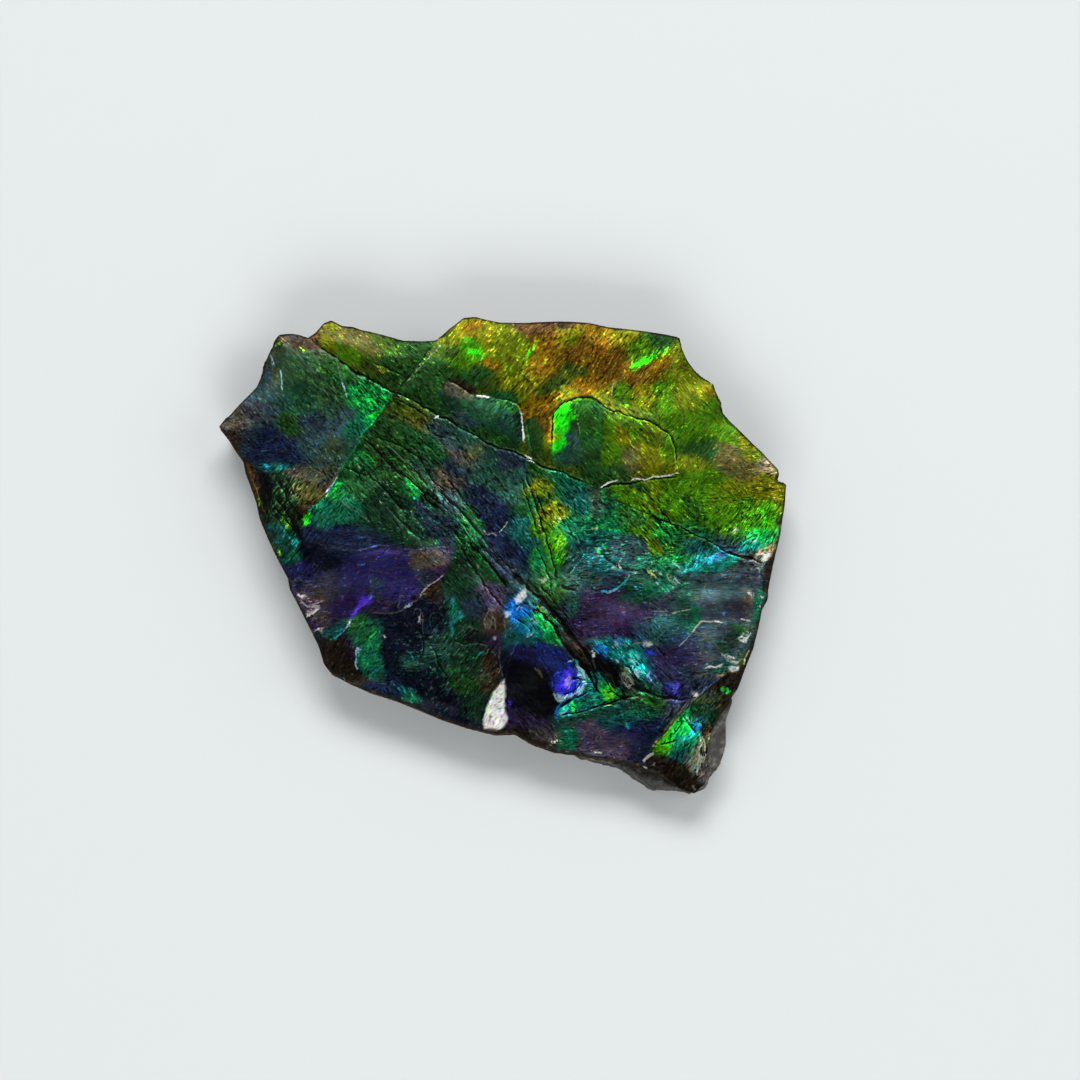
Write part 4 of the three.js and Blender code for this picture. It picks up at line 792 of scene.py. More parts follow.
# Open cracks and fault steps: width in squares, depth and step up on the right in mm, darkness, path.
CRACK_REACH = 10.0  # squares, how far a crack's step can be felt
LONG_CRACK = (
    "309,339 320,347 333,356 345,365 362,376 375,382 388,390 408,397 421,406 432,411 439,417 448,419 "
    "458,426 464,430 475,435 482,441 492,445 504,450 513,451 522,456 532,461 542,467 560,471 572,478 "
    "584,482 591,486 600,488"
)
LONG_FAULT = (
    "437,342 430,350 423,360 415,368 410,376 395,395 385,410 375,424 367,432 360,443 352,455 345,465 "
    "340,474 333,487 322,500 315,512 309,520 303,530"
)
SCALE_ARC = (
    "553,455 552,440 552,424 556,410 563,403 570,400 580,397 592,398 600,404 610,411 620,412 632,418 "
    "645,420 655,425 662,430 668,434 673,440 675,450 676,460 678,470 679,474"
)
CRACKS = [
    (2.1, 0.14, 0, 0.92, LONG_CRACK),
    (1.5, 0.08, 0.08, 0.55, LONG_FAULT),
    (1.5, 0.05, -0.04, 0.85, SCALE_ARC),
    (2, 0.1, 0, 0.8, "598,491 608,485 618,484 630,484 640,482 652,479 679,477"),
    (1.7, 0.1, 0.04, 0.85, "650,513 660,521 670,523 680,527 690,533 699,537 710,542 721,550 732,555 "
     "740,555 750,556 754,560 759,563"),
    (3, 0.12, 0.05, 0.8, "726,550 738,556 750,559 757,565"),
    (1.4, 0.07, 0, 0.7, "615,500 630,507 642,512 651,516 660,527 669,537"),
    (1.8, 0.08, 0, 0.85, "448,380 458,385 466,390 474,396"),
    (1.4, 0.08, 0.03, 0.8, "488,398 500,399 510,402 520,404 522,410"),
    (1.3, 0.06, 0, 0.6, "527,420 530,440 532,450"),
    (1.3, 0.02, 0, 0.6, "315,541 330,545 350,549 367,548 375,544 385,543 400,547 420,548 433,545 455,546"),
    (1.7, 0.1, 0, 0.8, "600,553 610,562 620,567 630,572 640,570"),
    (1.5, 0.1, 0, 0.85, "557,712 575,712 590,706 605,703 625,696 640,694"),
    (2.4, 0.12, 0, 0.8, "603,668 618,676 632,686 646,690 662,696 690,698"),
    (1.6, 0.08, 0.1, 0.6, "727,672 715,680 700,693 690,702 680,711 670,722 660,733 652,746 641,760"),
    (1.2, 0.05, 0, 0.5, "697,717 700,735 706,752 700,775"),
    (1.4, 0.06, 0, 0.6, "706,712 712,730 708,750 714,770"),
    (1.2, 0.05, 0, 0.6, "284,500 296,512 302,524"),
    (1.5, 0.07, 0, 0.7, "266,478 271,495 270,508 282,522 296,540"),
    (1.1, 0.04, 0, 0.5, "640,722 655,727 664,732"),
    (1.1, 0.05, 0, 0.6, "520,640 510,660 506,680 512,690"),
    (1.3, 0.06, 0, 0.6, "540,655 552,672 556,694 557,712"),
]


def open_crack(width, depth, step, darkness, path, ragged=1.0, uneven=0.45):
    """A groove along a path with a dark line in it, and the surface a step higher on its right."""
    which, off, side, along = near_path(rounded(path), CRACK_REACH, ragged)
    swell = 1 + uneven * clouds(column[which], row[which], 9, 41, 2)
    ends = step_up(along, -0.01, 0.06) * (1 - step_up(along, 0.92, 1.01))
    relief[which] -= 0.5 * depth * np.exp(-((off / (0.9 * width)) ** 2)) * ends * swell
    relief[which] += 0.4 * step * side * np.exp(-off / 3.5) * ends
    half_width = 0.55 * width * swell * (0.3 + 0.7 * ends)
    draw_line(splits, which, off, side, half_width, np.minimum(1, 1.2 * darkness) * ends)


for crack in CRACKS:
    open_crack(*crack)

# The swarm of fine wavy splits that runs down from the left to the black gash: width in squares and path.
SPLITS = [
    (1.7, "362,468 370,475 376,480 381,484 386,490 392,497 399,504 407,512"),
    (1.7, "366,442 373,447 381,454 387,462 393,469 399,472 404,475 410,480 416,485 421,489 425,495 428,501 "
     "434,506 440,511"),
    (1.5, "376,437 383,439 391,442 397,444 405,448 413,453 419,457 423,463 427,470 431,477 434,482 440,486 "
     "445,491 449,497"),
    (1, "384,446 391,452 396,458 403,463 409,468 414,473"),
    (1.1, "393,448 401,455 405,460 410,466"),
    (1.6, "414,467 417,472 421,477 425,481 429,486"),
    (1.3, "418,436 423,442 428,446 433,449 437,454 441,459"),
    (1.1, "427,424 430,431 434,435 440,437 447,438"),
    (1.5, "428,493 434,498 441,503 445,507 450,511"),
    (1.7, "440,490 445,495 450,500 456,505 461,511 466,516 471,522 476,528 481,534 487,540"),
    (1.3, "448,478 453,484 459,492 463,499 467,504 472,509 477,515 481,521"),
    (1.2, "388,505 394,512 400,519 405,524 410,529 416,534 423,538"),
    (1.2, "450,524 455,531 460,538 465,544 468,551"),
    (1, "458,516 464,524 468,531 474,538 478,545"),
    (1.2, "392,398 401,402 411,406 420,411 427,417 431,424"),
    (1.1, "374,363 384,367 393,371 403,376 411,381"),
    (1.6, "460,544 465,552 470,563 477,572 483,581 489,589 494,596 500,603 506,611"),
    (2.1, "466,540 473,546 481,553 488,561 494,568 500,576 505,583 510,589"),
    (1.4, "478,541 484,548 491,555 498,562 505,569 511,574 518,579 525,584"),
    (1.1, "487,543 494,551 500,558 507,564 514,570"),
    (3.2, "508,570 516,576 522,581 528,587 535,594 544,601 552,609 560,617 566,626 571,634 578,643 585,650 "
     "590,657 594,666 599,677"),
    (3.2, "530,600 537,606 545,614 552,622 557,630 562,639 568,647 574,655 581,663 588,671 593,680 598,689 "
     "602,696"),
    (1.3, "534,606 541,611 548,618 554,624 559,629"),
    (1.2, "538,602 546,608 553,615 560,623 566,632 572,641"),
    (1.2, "540,585 547,592 553,600 558,607 565,613 571,620"),
    (2.2, "590,654 598,661 606,669 613,678 619,688"),
    (1.6, "594,664 602,674 608,684 614,692 622,697 632,700"),
    (1.4, "604,662 616,671 628,681 640,689 652,692"),
    (1.5, "525,474 529,484 533,494 536,505 539,516 543,528 547,540 550,551 553,562 556,574 557,584"),
    (1.1, "522,480 525,492 530,508 534,520 538,532"),
    (1.2, "534,485 538,497 542,509 546,520"),
    (1.2, "536,545 540,554 545,563 548,573 551,586 553,598"),
    (1.7, "561,585 567,588 575,590"),
    (1.2, "640,503 650,512 657,520 663,529 672,540"),
    (1.2, "656,506 664,515 671,524 680,533"),
    (1.3, "514,617 519,620 524,622 529,626 533,632"),
    (1, "523,608 528,613 532,619"),
    (1.1, "532,608 537,615 542,621 546,629"),
    (1.5, "572,677 577,676 583,678 586,677"),
    (1.8, "560,706 566,701 573,697 581,693 588,690"),
    (1.2, "563,692 568,692 574,689 579,684 581,680"),
    (1.1, "596,697 604,700 612,701 620,698"),
    (1.2, "600,701 610,703 620,702"),
    (1.6, "592,668 594,676 596,684 599,690"),
    (1.1, "608,664 614,671 618,679"),
    (1.1, "605,668 611,675 616,684"),
    (1.4, "634,664 632,670 636,677 641,681"),
    (1.2, "623,663 628,665 632,672"),
    (1.6, "655,645 660,650 664,655"),
    (1.2, "622,692 628,696 636,694"),
    (1.2, "571,704 575,706 576,711"),
    (1.3, "276,496 284,505 290,515 296,526 303,541"),
    (1.8, "287,510 292,518 299,529 303,538"),
    (1, "281,480 288,489 292,497"),
    (1, "288,478 293,487 297,496"),
    (1.3, "345,468 353,470 361,473 368,478"),
    (1.2, "377,443 383,451 388,458 394,466 400,473"),
    (1.2, "659,742 665,741 671,739 679,736"),
    (1.2, "672,724 674,731 677,726 680,719"),
    (1.6, "681,713 686,719 690,726 695,731"),
    (2.4, "703,738 705,748 702,756"),
    (1.2, "700,718 702,738 698,756 696,774"),
    (1.2, "262,470 268,484 272,498 278,510 290,522 300,536"),
    (1.2, "276,476 284,488 290,500 298,512 306,520"),
    (1, "430,640 437,652 440,664 448,676"),
    (1, "410,620 420,630 426,642 424,656"),
    (1, "455,640 468,643 480,641 490,644"),
]
for width, path in SPLITS:
    open_crack(1.25 * width, 0.02 * width, 0.0, 1.0, path, 0.9, 0.6)

# Thin healed cracks, white or pale with calcite, and thin painted highlights drawn the same way where a
# raised
# edge or ridge catches the light (the white lines along the scale's lower edge, and most ice strokes): ink,
# width in squares, strength, how broken, path.
VEIN_AND_HIGHLIGHT_REACH = 5.0  # squares
VEINS_AND_HIGHLIGHTS = [
    ("white", 0.95, 0.95, 0, "600,488 607,483 612,482 618,481"),
    ("white", 0.95, 0.95, 0, "630,482 634,479 640,480 645,481 652,477 660,477 668,476 675,473 679,474"),
    ("lead", 0.8, 0.6, 0.5, "618,481 624,483 630,482"),
    ("white", 1.5, 0.95, 0, "477,397 483,397 490,399"),
    ("white", 1.3, 0.95, 0, "521,412 522,420 523,430 524,442"),
    ("bone", 0.6, 0.5, 0.3, "575,412 577,420 580,436"),
    ("bone", 0.8, 0.6, 0.2, "616,382 613,385 611,391 611,397"),
    ("gold", 0.8, 0.75, 0.3, "566,357 553,370 540,383 530,393 522,402"),
    ("white", 1.1, 0.95, 0, "435,419 439,416"),
    ("white", 1.2, 0.9, 0.2, "525,455 532,459"),
    ("white", 1.2, 0.9, 0.2, "528,461 534,464"),
    ("white", 0.7, 0.8, 0.2, "508,522 503,529 499,533"),
    ("bone", 0.7, 0.7, 0.5, "484,531 488,536 492,532 497,536"),
    ("ice", 1, 0.7, 0.3, "269,348 272,355 276,366"),
    ("ice", 1.2, 0.7, 0.3, "281,370 283,380 284,392"),
    ("slate", 0.8, 0.7, 0.5, "272,352 272,372 273,392 274,412"),
    ("pewter", 0.8, 0.6, 0.5, "337,358 340,372 343,384"),
    ("ice", 1.1, 0.75, 0.2, "343,384 346,390 348,398"),
    ("bone", 0.6, 0.45, 0.8, "444,343 420,368 408,382"),
    ("emerald", 0.8, 0.6, 0.5, "366,434 352,455 345,466 338,478"),
    ("ice", 1, 0.7, 0.3, "339,477 334,485 330,491"),
    ("spring", 1, 0.75, 0.6, "333,488 322,502 316,510"),
    ("bone", 1, 0.8, 0.1, "444,575 440,578 436,581 430,585 426,588 423,592 421,597"),
    ("lead", 0.7, 0.7, 0.2, "417,577 420,580 424,583 427,586"),
    ("lead", 1.2, 0.8, 0.2, "399,608 400,600 401,595 404,594 404,598"),
    ("ice", 1.5, 0.55, 0.2, "405,607 409,606 413,604"),
    ("pewter", 1.3, 0.5, 0.3, "407,606 411,603 415,601 419,600"),
    ("lead", 1.5, 0.7, 0.3, "374,612 384,613 397,612 402,611 406,608"),
    ("lead", 1, 0.7, 0.2, "415,614 415,609 419,607 423,611 425,618 423,626 425,633"),
    ("bone", 1.5, 0.85, 0, "421,615 421,619 419,622"),
    ("lead", 1, 0.6, 0.3, "426,603 432,602 438,603 441,600"),
    ("slate", 1, 0.7, 0.4, "432,628 430,620 433,612 440,611 445,618 441,627"),
    ("pewter", 1.1, 0.6, 0.2, "487,628 484,620 487,613 491,609 495,611"),
    ("pewter", 1.1, 0.55, 0.3, "490,629 491,621 493,615 496,620 495,630"),
    ("lead", 0.9, 0.6, 0.4, "466,628 470,626 476,628 480,629"),
    ("turquoise", 1.4, 0.6, 0.4, "478,655 481,652 485,650"),
    ("turquoise", 1.5, 0.5, 0.5, "410,651 413,655 415,659"),
    ("ice", 1.2, 0.5, 0.2, "431,665 432,668"),
    ("lagoon", 1.5, 0.7, 0.5, "453,599 454,606 453,613 455,619 452,625 454,632 452,637"),
    ("spring", 0.9, 0.6, 0.4, "452,600 455,602 454,610 457,613"),
    ("turquoise", 1.6, 0.6, 0.3, "459,619 462,616 464,615"),
    ("steel", 0.9, 0.8, 0.1, "456,646 458,641"),
    ("bone", 1.4, 0.45, 0.3, "477,563 479,568"),
    ("white", 2.2, 0.9, 0.1, "300,594 302,597 306,594"),
    ("blush", 1.2, 0.7, 0.2, "312,604 318,603 322,601 325,600"),
    ("bone", 1.4, 0.8, 0.2, "302,603 306,602 309,606 320,606 323,607"),
    ("white", 1.5, 0.85, 0.1, "309,617 313,614 317,610 321,608"),
    ("blush", 1.2, 0.8, 0.2, "308,612 312,611 317,609"),
    ("white", 1.3, 0.85, 0.1, "317,631 320,628 322,627"),
    ("bone", 1.1, 0.8, 0.1, "322,631 324,628 326,627"),
    ("pewter", 0.9, 0.6, 0.2, "322,634 325,631"),
    ("steel", 1.4, 0.8, 0.1, "318,622 319,618"),
    ("lead", 0.8, 0.7, 0.3, "297,579 300,577 304,579 303,581"),
    ("lead", 0.8, 0.6, 0.4, "309,582 313,580 316,583 321,583"),
    ("mist", 1.5, 0.8, 0.2, "320,583 327,585 330,590 326,593 323,598"),
    ("mist", 1.2, 0.7, 0.2, "308,596 313,592 316,597 315,600"),
    ("lead", 0.8, 0.5, 0.5, "314,567 316,563 319,566"),
    ("lead", 0.8, 0.5, 0.4, "370,570 378,570 384,573 391,573"),
    ("cyan", 0.9, 0.5, 0.4, "359,564 363,566 366,563"),
    ("lilac", 1, 0.75, 0.2, "354,615 358,610 363,606 367,603"),
    ("lilac", 0.8, 0.7, 0.2, "353,618 356,613 359,608"),
    ("sky", 1.3, 0.7, 0.2, "371,599 374,596"),
    ("white", 1.2, 0.8, 0, "350,623 353,620"),
    ("ice", 0.6, 0.5, 0.2, "350,623 347,628 344,632"),
    ("cyan", 1.5, 0.6, 0.1, "344,632 340,635 337,638"),
    ("white", 1.6, 0.6, 0, "385,635 387,636"),
    ("spring", 1.3, 0.85, 0, "370,639 374,635 378,631"),
    ("ice", 1.6, 0.6, 0.3, "359,646 361,650 363,648"),
    ("emerald", 1.3, 0.6, 0.3, "371,641 374,645 374,650"),
    ("emerald", 1.5, 0.6, 0.3, "378,643 380,646"),
    ("cyan", 0.8, 0.5, 0.3, "345,677 347,682"),
    ("ice", 0.9, 0.8, 0.4, "358,648 358,656 357,664 359,668"),
    ("bone", 0.9, 0.7, 0.2, "678,646 685,638 690,632"),
    ("bone", 1.4, 0.9, 0, "690,632 694,628 700,621"),
    ("bone", 1.2, 0.85, 0, "699,621 706,620 715,621"),
    ("white", 1.3, 0.8, 0, "714,621 721,622"),
    ("pewter", 0.8, 0.6, 0.2, "722,622 725,624"),
    ("white", 1.8, 0.9, 0.1, "754,554 760,553 765,554 769,555"),
    ("white", 2.2, 0.9, 0, "762,559 765,557 768,555"),
    ("bone", 1.5, 0.85, 0.1, "747,560 752,561 758,564"),
    ("bone", 1.3, 0.6, 0.5, "754,567 758,569 757,573"),
    ("bone", 1.6, 0.8, 0, "746,592 749,594 750,597"),
    ("lead", 2, 0.8, 0.1, "753,587 756,588 756,591"),
    ("white", 1.3, 0.8, 0, "759,595 761,598"),
    ("white", 1.4, 0.7, 0, "758,606 758,608"),
    ("jade", 1.8, 0.75, 0.5, "755,589 754,600 753,608 752,617"),
    ("spring", 0.9, 0.5, 0.3, "754,602 752,611 752,616"),
    ("teal", 2.4, 0.7, 0.1, "698,611 703,612"),
    ("sky", 2.2, 0.65, 0, "720,613 724,612"),
    ("steel", 2, 0.8, 0.1, "707,611 712,612"),
    ("teal", 1.8, 0.8, 0.1, "714,612 717,614"),
    ("white", 1.6, 0.7, 0.5, "736,637 740,635 744,638 746,634 749,632"),
    ("white", 1.5, 0.75, 0.4, "738,639 742,641 745,640"),
    ("bone", 1.2, 0.8, 0.1, "719,652 723,655 727,659"),
    ("white", 1.3, 0.8, 0.1, "726,654 730,657 735,657"),
    ("white", 1.4, 0.8, 0, "743,659 742,663"),
    ("bone", 0.9, 0.7, 0.3, "748,647 745,655 742,660"),
    ("gold", 1.6, 0.6, 0.2, "715,675 719,673 722,673"),
    ("rust", 1.2, 0.8, 0.2, "722,664 725,670 731,672 737,671"),
    ("spring", 2.2, 0.6, 0.1, "720,686 721,690"),
    ("spring", 2, 0.6, 0.1, "725,687 726,691"),
    ("bone", 0.8, 0.75, 0.2, "671,613 676,611 682,610 691,609"),
    ("pewter", 0.7, 0.5, 0.4, "650,610 658,611 668,611"),
    ("pewter", 0.7, 0.55, 0.5, "640,619 646,617 652,617"),
    ("bone", 1.1, 0.85, 0, "739,618 744,619 749,620"),
    ("bone", 0.7, 0.7, 0.2, "620,560 618,565 621,568"),
    ("white", 1.6, 0.8, 0.2, "703,667 709,665 715,666 721,663"),
    ("pewter", 0.9, 0.55, 0.4, "503,676 500,664 499,652 500,644"),
    ("pewter", 0.8, 0.5, 0.7, "505,640 506,628 504,618"),
    ("ice", 1.5, 0.85, 0.3, "570,696 574,693 579,689 583,684 584,680"),
    ("ice", 1.6, 0.9, 0.1, "576,665 580,668 583,672 585,677"),
    ("ice", 1.2, 0.5, 0.3, "553,692 555,696 558,700 563,698 569,694"),
    ("ice", 1.2, 0.6, 0.1, "568,661 570,659 572,660"),
    ("turquoise", 1.3, 0.7, 0.2, "575,658 577,662 577,666"),
    ("azure", 1.3, 0.8, 0.1, "562,700 559,704 557,709 555,713"),
    ("ice", 1, 0.7, 0.1, "559,712 563,711 567,708"),
    ("ice", 1.2, 0.6, 0.2, "584,685 580,691 577,692"),
    ("lagoon", 1.2, 0.7, 0.2, "590,670 592,675 594,682"),
    ("lime", 1.5, 0.9, 0.1, "604,688 606,692 607,697"),
    ("lime", 1.3, 0.85, 0, "607,692 610,694 612,697"),
    ("lime", 1.2, 0.8, 0.1, "608,682 611,687 615,691"),
    ("spring", 1.2, 0.8, 0.1, "599,687 602,690 603,695"),
    ("lime", 1.3, 0.7, 0.1, "602,706 606,704 610,703"),
    ("white", 1.8, 0.85, 0.1, "592,652 593,654 592,656"),
    ("sage", 1.4, 0.8, 0.1, "592,657 594,663 595,669"),
    ("blue", 2.4, 0.8, 0.1, "595,647 598,645 600,643"),
    ("ice", 1.2, 0.7, 0.1, "590,650 593,649"),
    ("ice", 1.4, 0.6, 0.1, "613,640 616,643 618,645"),
    ("azure", 1.8, 0.7, 0.1, "615,638 619,640 622,643"),
    ("ice", 1.6, 0.6, 0, "611,646 613,647"),
    ("ice", 1.5, 0.6, 0.1, "615,658 618,661"),
    ("celadon", 1.6, 0.8, 0.1, "624,643 626,645"),
    ("celadon", 1.8, 0.8, 0.2, "630,645 634,642 640,643"),
    ("ice", 1.2, 0.75, 0.3, "627,658 632,660 635,664"),
    ("ice", 1.5, 0.85, 0.2, "636,667 639,670 641,672"),
    ("ice", 1.2, 0.75, 0.3, "632,667 635,672 638,676"),
    ("ice", 1.1, 0.6, 0.3, "634,653 636,656 638,658"),
    ("ice", 1.2, 0.7, 0.1, "645,676 648,673 649,671"),
    ("sage", 1.3, 0.8, 0.2, "648,634 653,639 658,645"),
    ("celadon", 1, 0.7, 0.4, "650,636 654,641 657,646"),
    ("celadon", 1, 0.6, 0.4, "656,638 660,635 663,631"),
    ("bone", 0.8, 0.5, 0.5, "621,670 624,676 627,681 631,684"),
    ("bone", 0.8, 0.5, 0.4, "626,673 630,679 633,683"),
    ("pewter", 0.9, 0.7, 0.2, "619,672 621,678 625,684 629,688"),
    ("sage", 1.5, 0.9, 0.1, "624,691 629,693 634,690"),
    ("tan", 1.8, 0.6, 0.1, "632,696 635,695 638,697"),
    ("grass", 2.2, 0.6, 0.3, "641,699 647,701 652,703"),
    ("turquoise", 1.4, 0.7, 0.2, "624,721 626,724 628,727"),
    ("pewter", 1.2, 0.4, 0.3, "535,666 538,671 541,675"),
    ("taupe", 2.4, 0.7, 0.1, "537,668 540,673 543,677"),
    ("ice", 1.1, 0.8, 0.1, "520,605 518,608 517,611"),
    ("cyan", 1.3, 0.7, 0.1, "528,601 532,604 536,607"),
    ("ice", 1.5, 0.7, 0.1, "530,617 533,618"),
    ("ice", 1.4, 0.6, 0.1, "534,620 537,624"),
    ("sky", 2.2, 0.7, 0.1, "529,624 532,625"),
    ("cyan", 1.3, 0.7, 0.1, "525,627 528,630 530,633"),
    ("ice", 1.3, 0.6, 0.2, "526,636 530,635 533,633"),
    ("spring", 1.2, 0.7, 0.2, "536,613 539,618 542,622 546,626"),
    ("lime", 1.3, 0.6, 0.2, "545,624 548,627"),
    ("spring", 1.1, 0.6, 0.2, "542,637 545,634 546,631"),
    ("celadon", 1.5, 0.8, 0.1, "542,606 544,609"),
    ("lime", 1.1, 0.6, 0.3, "537,604 541,609 546,613 550,618"),
    ("tan", 1.4, 0.4, 0.2, "545,611 548,614"),
    ("turquoise", 1.8, 0.8, 0.1, "628,577 625,581 621,585 616,588"),
    ("cyan", 1.6, 0.85, 0.1, "618,587 613,590 608,591 600,591"),
    ("ice", 1, 0.6, 0.2, "617,589 611,591 606,593"),
    ("bone", 0.8, 0.6, 0.2, "628,575 628,578"),
    ("bone", 1, 0.7, 0.1, "611,568 614,566"),
    ("pewter", 0.9, 0.7, 0.2, "631,572 635,571 638,570"),
    ("spring", 1.3, 0.7, 0.2, "602,543 603,547 606,549"),
    ("ice", 1.2, 0.6, 0.1, "598,548 600,549"),
    ("spring", 1.1, 0.6, 0.3, "593,547 597,551 600,553"),
    ("straw", 1.2, 0.55, 0.3, "591,528 594,529 597,528"),
    ("emerald", 1.2, 0.8, 0.4, "358,452 363,458 369,463 374,470"),
    ("spring", 1, 0.7, 0.4, "363,452 370,456 376,463"),
    ("spring", 1.2, 0.8, 0.2, "405,479 409,484 414,490 416,496"),
    ("celadon", 0.9, 0.7, 0.4, "386,445 394,450 402,459 410,464 418,471"),
    ("celadon", 0.9, 0.7, 0.4, "424,455 430,462 436,469 443,474"),
    ("tan", 1.4, 0.55, 0.4, "439,474 445,478 450,484 453,488"),
    ("tan", 1.2, 0.55, 0.4, "459,479 465,482 469,487"),
    ("celadon", 1.2, 0.6, 0.2, "431,430 432,434"),
    ("emerald", 1, 0.7, 0.4, "452,514 459,521 465,529 471,536 478,545"),
    ("emerald", 1, 0.7, 0.4, "470,523 475,531 482,538 489,548"),
    ("emerald", 1.2, 0.7, 0.4, "524,478 529,490 532,502 536,514 540,526"),
    ("spring", 1, 0.6, 0.5, "527,512 531,522 535,530 538,540"),
    ("celadon", 1, 0.5, 0.5, "340,500 350,508 360,514 372,522"),
    ("celadon", 0.9, 0.5, 0.5, "414,520 412,512 417,506 420,502"),
    ("straw", 1, 0.5, 0.3, "646,569 648,573 652,576"),
    ("straw", 1.2, 0.6, 0.3, "650,572 653,575 655,578"),
    ("ice", 1.1, 0.6, 0.3, "671,562 675,565 679,568"),
    ("ice", 1.2, 0.6, 0.3, "673,576 676,580 680,584"),
    ("pewter", 1.2, 0.6, 0.3, "666,574 669,579 673,584"),
    ("ice", 1, 0.7, 0.1, "655,582 657,584"),
    ("lime", 0.8, 0.5, 0.6, "560,545 556,520 552,500"),
    ("bone", 0.8, 0.6, 0.5, "594,496 591,503"),
    ("bone", 0.9, 0.6, 0.6, "536,577 543,582 547,579"),
    ("pewter", 0.8, 0.5, 0.6, "594,740 598,732 602,736"),
    ("flash", 1.8, 0.8, 0.2, "663,737 667,732 670,729 675,720"),
    ("grass", 1.6, 0.8, 0.3, "660,746 664,745 667,746"),
    ("spring", 1.6, 0.85, 0.1, "677,732 679,726 681,721 684,725 688,732"),
    ("turquoise", 1.5, 0.8, 0.2, "673,737 679,736 684,733 690,733"),
    ("cyan", 1.4, 0.7, 0.4, "681,740 685,737 687,734"),
    ("ice", 1.3, 0.75, 0.1, "684,715 687,717 689,720"),
    ("sky", 1.2, 0.8, 0.1, "694,719 696,716"),
    ("cyan", 1.2, 0.75, 0.3, "690,720 693,724 697,722 700,725"),
    ("azure", 1.3, 0.8, 0.2, "693,728 696,725 699,729"),
    ("rust", 1, 0.5, 0.4, "656,741 662,732 669,723 677,714 684,706"),
    ("gold", 0.8, 0.4, 0.5, "658,741 664,732 671,723 678,715"),
    ("cream", 1.2, 0.75, 0.2, "701,734 703,741 703,750"),
    ("tan", 2, 0.7, 0.3, "698,741 698,748 694,756 691,764 688,770"),
    ("bone", 1, 0.8, 0.3, "697,744 695,752 692,760"),
    ("bone", 1.8, 0.8, 0.3, "699,752 698,758 699,762 695,768"),
    ("jade", 1.6, 0.7, 0.2, "688,746 689,752 688,758"),
    ("pewter", 3, 0.7, 0.2, "709,741 711,736 715,733 720,731"),
    ("bone", 1.2, 0.7, 0.4, "704,752 703,757"),
    ("bone", 2.4, 0.8, 0.1, "642,759 645,755 649,752 653,751"),
    ("pewter", 1.6, 0.7, 0.1, "651,763 654,760"),
    ("bone", 1.3, 0.7, 0.2, "642,764 646,766"),
    ("pewter", 1.8, 0.6, 0.2, "690,783 695,787"),
    ("emerald", 1.6, 0.6, 0.3, "692,706 695,709"),
    ("emerald", 1.5, 0.5, 0.3, "704,703 707,707"),
    ("teal", 1.6, 0.8, 0.3, "703,722 707,714 711,709"),
    ("rust", 2, 0.7, 0.3, "249,464 252,475 256,488 262,503 267,514"),
    ("gold", 1, 0.6, 0.4, "251,470 255,483 260,496 264,507"),
    ("spring", 1, 0.5, 0.5, "634,491 640,497 647,506 654,513 661,519"),
    ("grass", 1.2, 0.6, 0.4, "641,488 648,494 656,502 663,508"),
]
for ink, width, strength, broken, path in VEINS_AND_HIGHLIGHTS:
    which, off, side, along = near_path(rounded(path), VEIN_AND_HIGHLIGHT_REACH, 0.7)
    swell = 1 + 0.4 * clouds(column[which], row[which], 5, 43, 2)
    there = 1 - broken * step_up(clouds(column[which], row[which], 4, 44, 2), -0.1, 0.4)
    there *= step_up(along, -0.01, 0.05) * (1 - step_up(along, 0.95, 1.01))
    drawn = draw_line(veins_and_highlights, which, off, side, 0.6 * width * swell * (0.5 + 0.5 * there), strength * there)
    vein_ink[drawn] = INKS[ink]
    relief[which] += 0.02 * there * np.exp(-((off / (0.75 * width * swell)) ** 2))

# Calcite that fills the wider gaps, white and a little speckled.
FILLS = [
    (0.95, "505,678 506,690 505,700 506,712 508,720 503,726 498,730 490,731 484,727 483,720 486,710 "
     "490,700 494,690 500,684"),
    (0.9, "514,598 519,592 525,587 528,591 527,597 521,602 516,604"),
    (0.85, "505,612 508,611 508,617 505,618"),
    (0.7, "509,612 511,613 510,616"),
    (0.8, "541,582 545,578 547,580 543,584"),
    (0.85, "691,690 697,691 697,695 692,695"),
    (0.85, "726,668 730,664 737,665 738,669 734,671 728,671"),
    (0.8, "729,660 733,659 738,660 737,662 731,662"),
    (0.75, "495,635 497,637 495,639 493,637"),
    (0.6, "641,641 648,640 653,643 648,646 643,645"),
]
for strength, outline in FILLS:
    cover = inside(outline, 0.9) * strength * (1 - 0.35 * step_up(grit, 0.35, 0.8))
    speckled = INKS["white"] * (0.93 + 0.09 * grit + 0.05 * mottle)[:, None]
    speckled[step_up(clouds(column, row, 3, 45, 2), 0.5, 0.62) > 0.5] *= 0.55
    paint = laid_on(paint, speckled, cover)
    flash = laid_on(flash, speckled, cover)
    splits[:, 3] *= 1 - cover
    relief += cover * 0.05 * (1 + grit)
    dull = np.maximum(dull, cover)

# The broken rim: the nacre stops, and brown, oxidised shell and pale chipped lamellae show.
RIM_WIDTH, RIM_GROWTH, RIM_FADE = 0.05, 0.16, 0.06  # mm: its least width, how much it widens, its soft edge
rim_width = RIM_WIDTH + RIM_GROWTH * np.maximum(0, clouds(place[:, 0], place[:, 1], 1.3, 51, 3))
rim_cover = (1 - step_up(from_rim, rim_width * 0.4, rim_width + RIM_FADE)) * 0.85
rim_tone = clouds(place[:, 0], place[:, 1], 0.5, 52, 3)
rim_ink = laid_on(INKS["peat"], INKS["umber"], step_up(rim_tone, -0.2, 0.5))
rim_ink = laid_on(rim_ink, INKS["tan"], 0.6 * step_up(rim_tone, 0.55, 0.8))
paint = laid_on(paint, rim_ink, rim_cover)
flash_and_glint_share *= 1 - 0.9 * rim_cover
dull = np.maximum(dull, 0.8 * rim_cover)

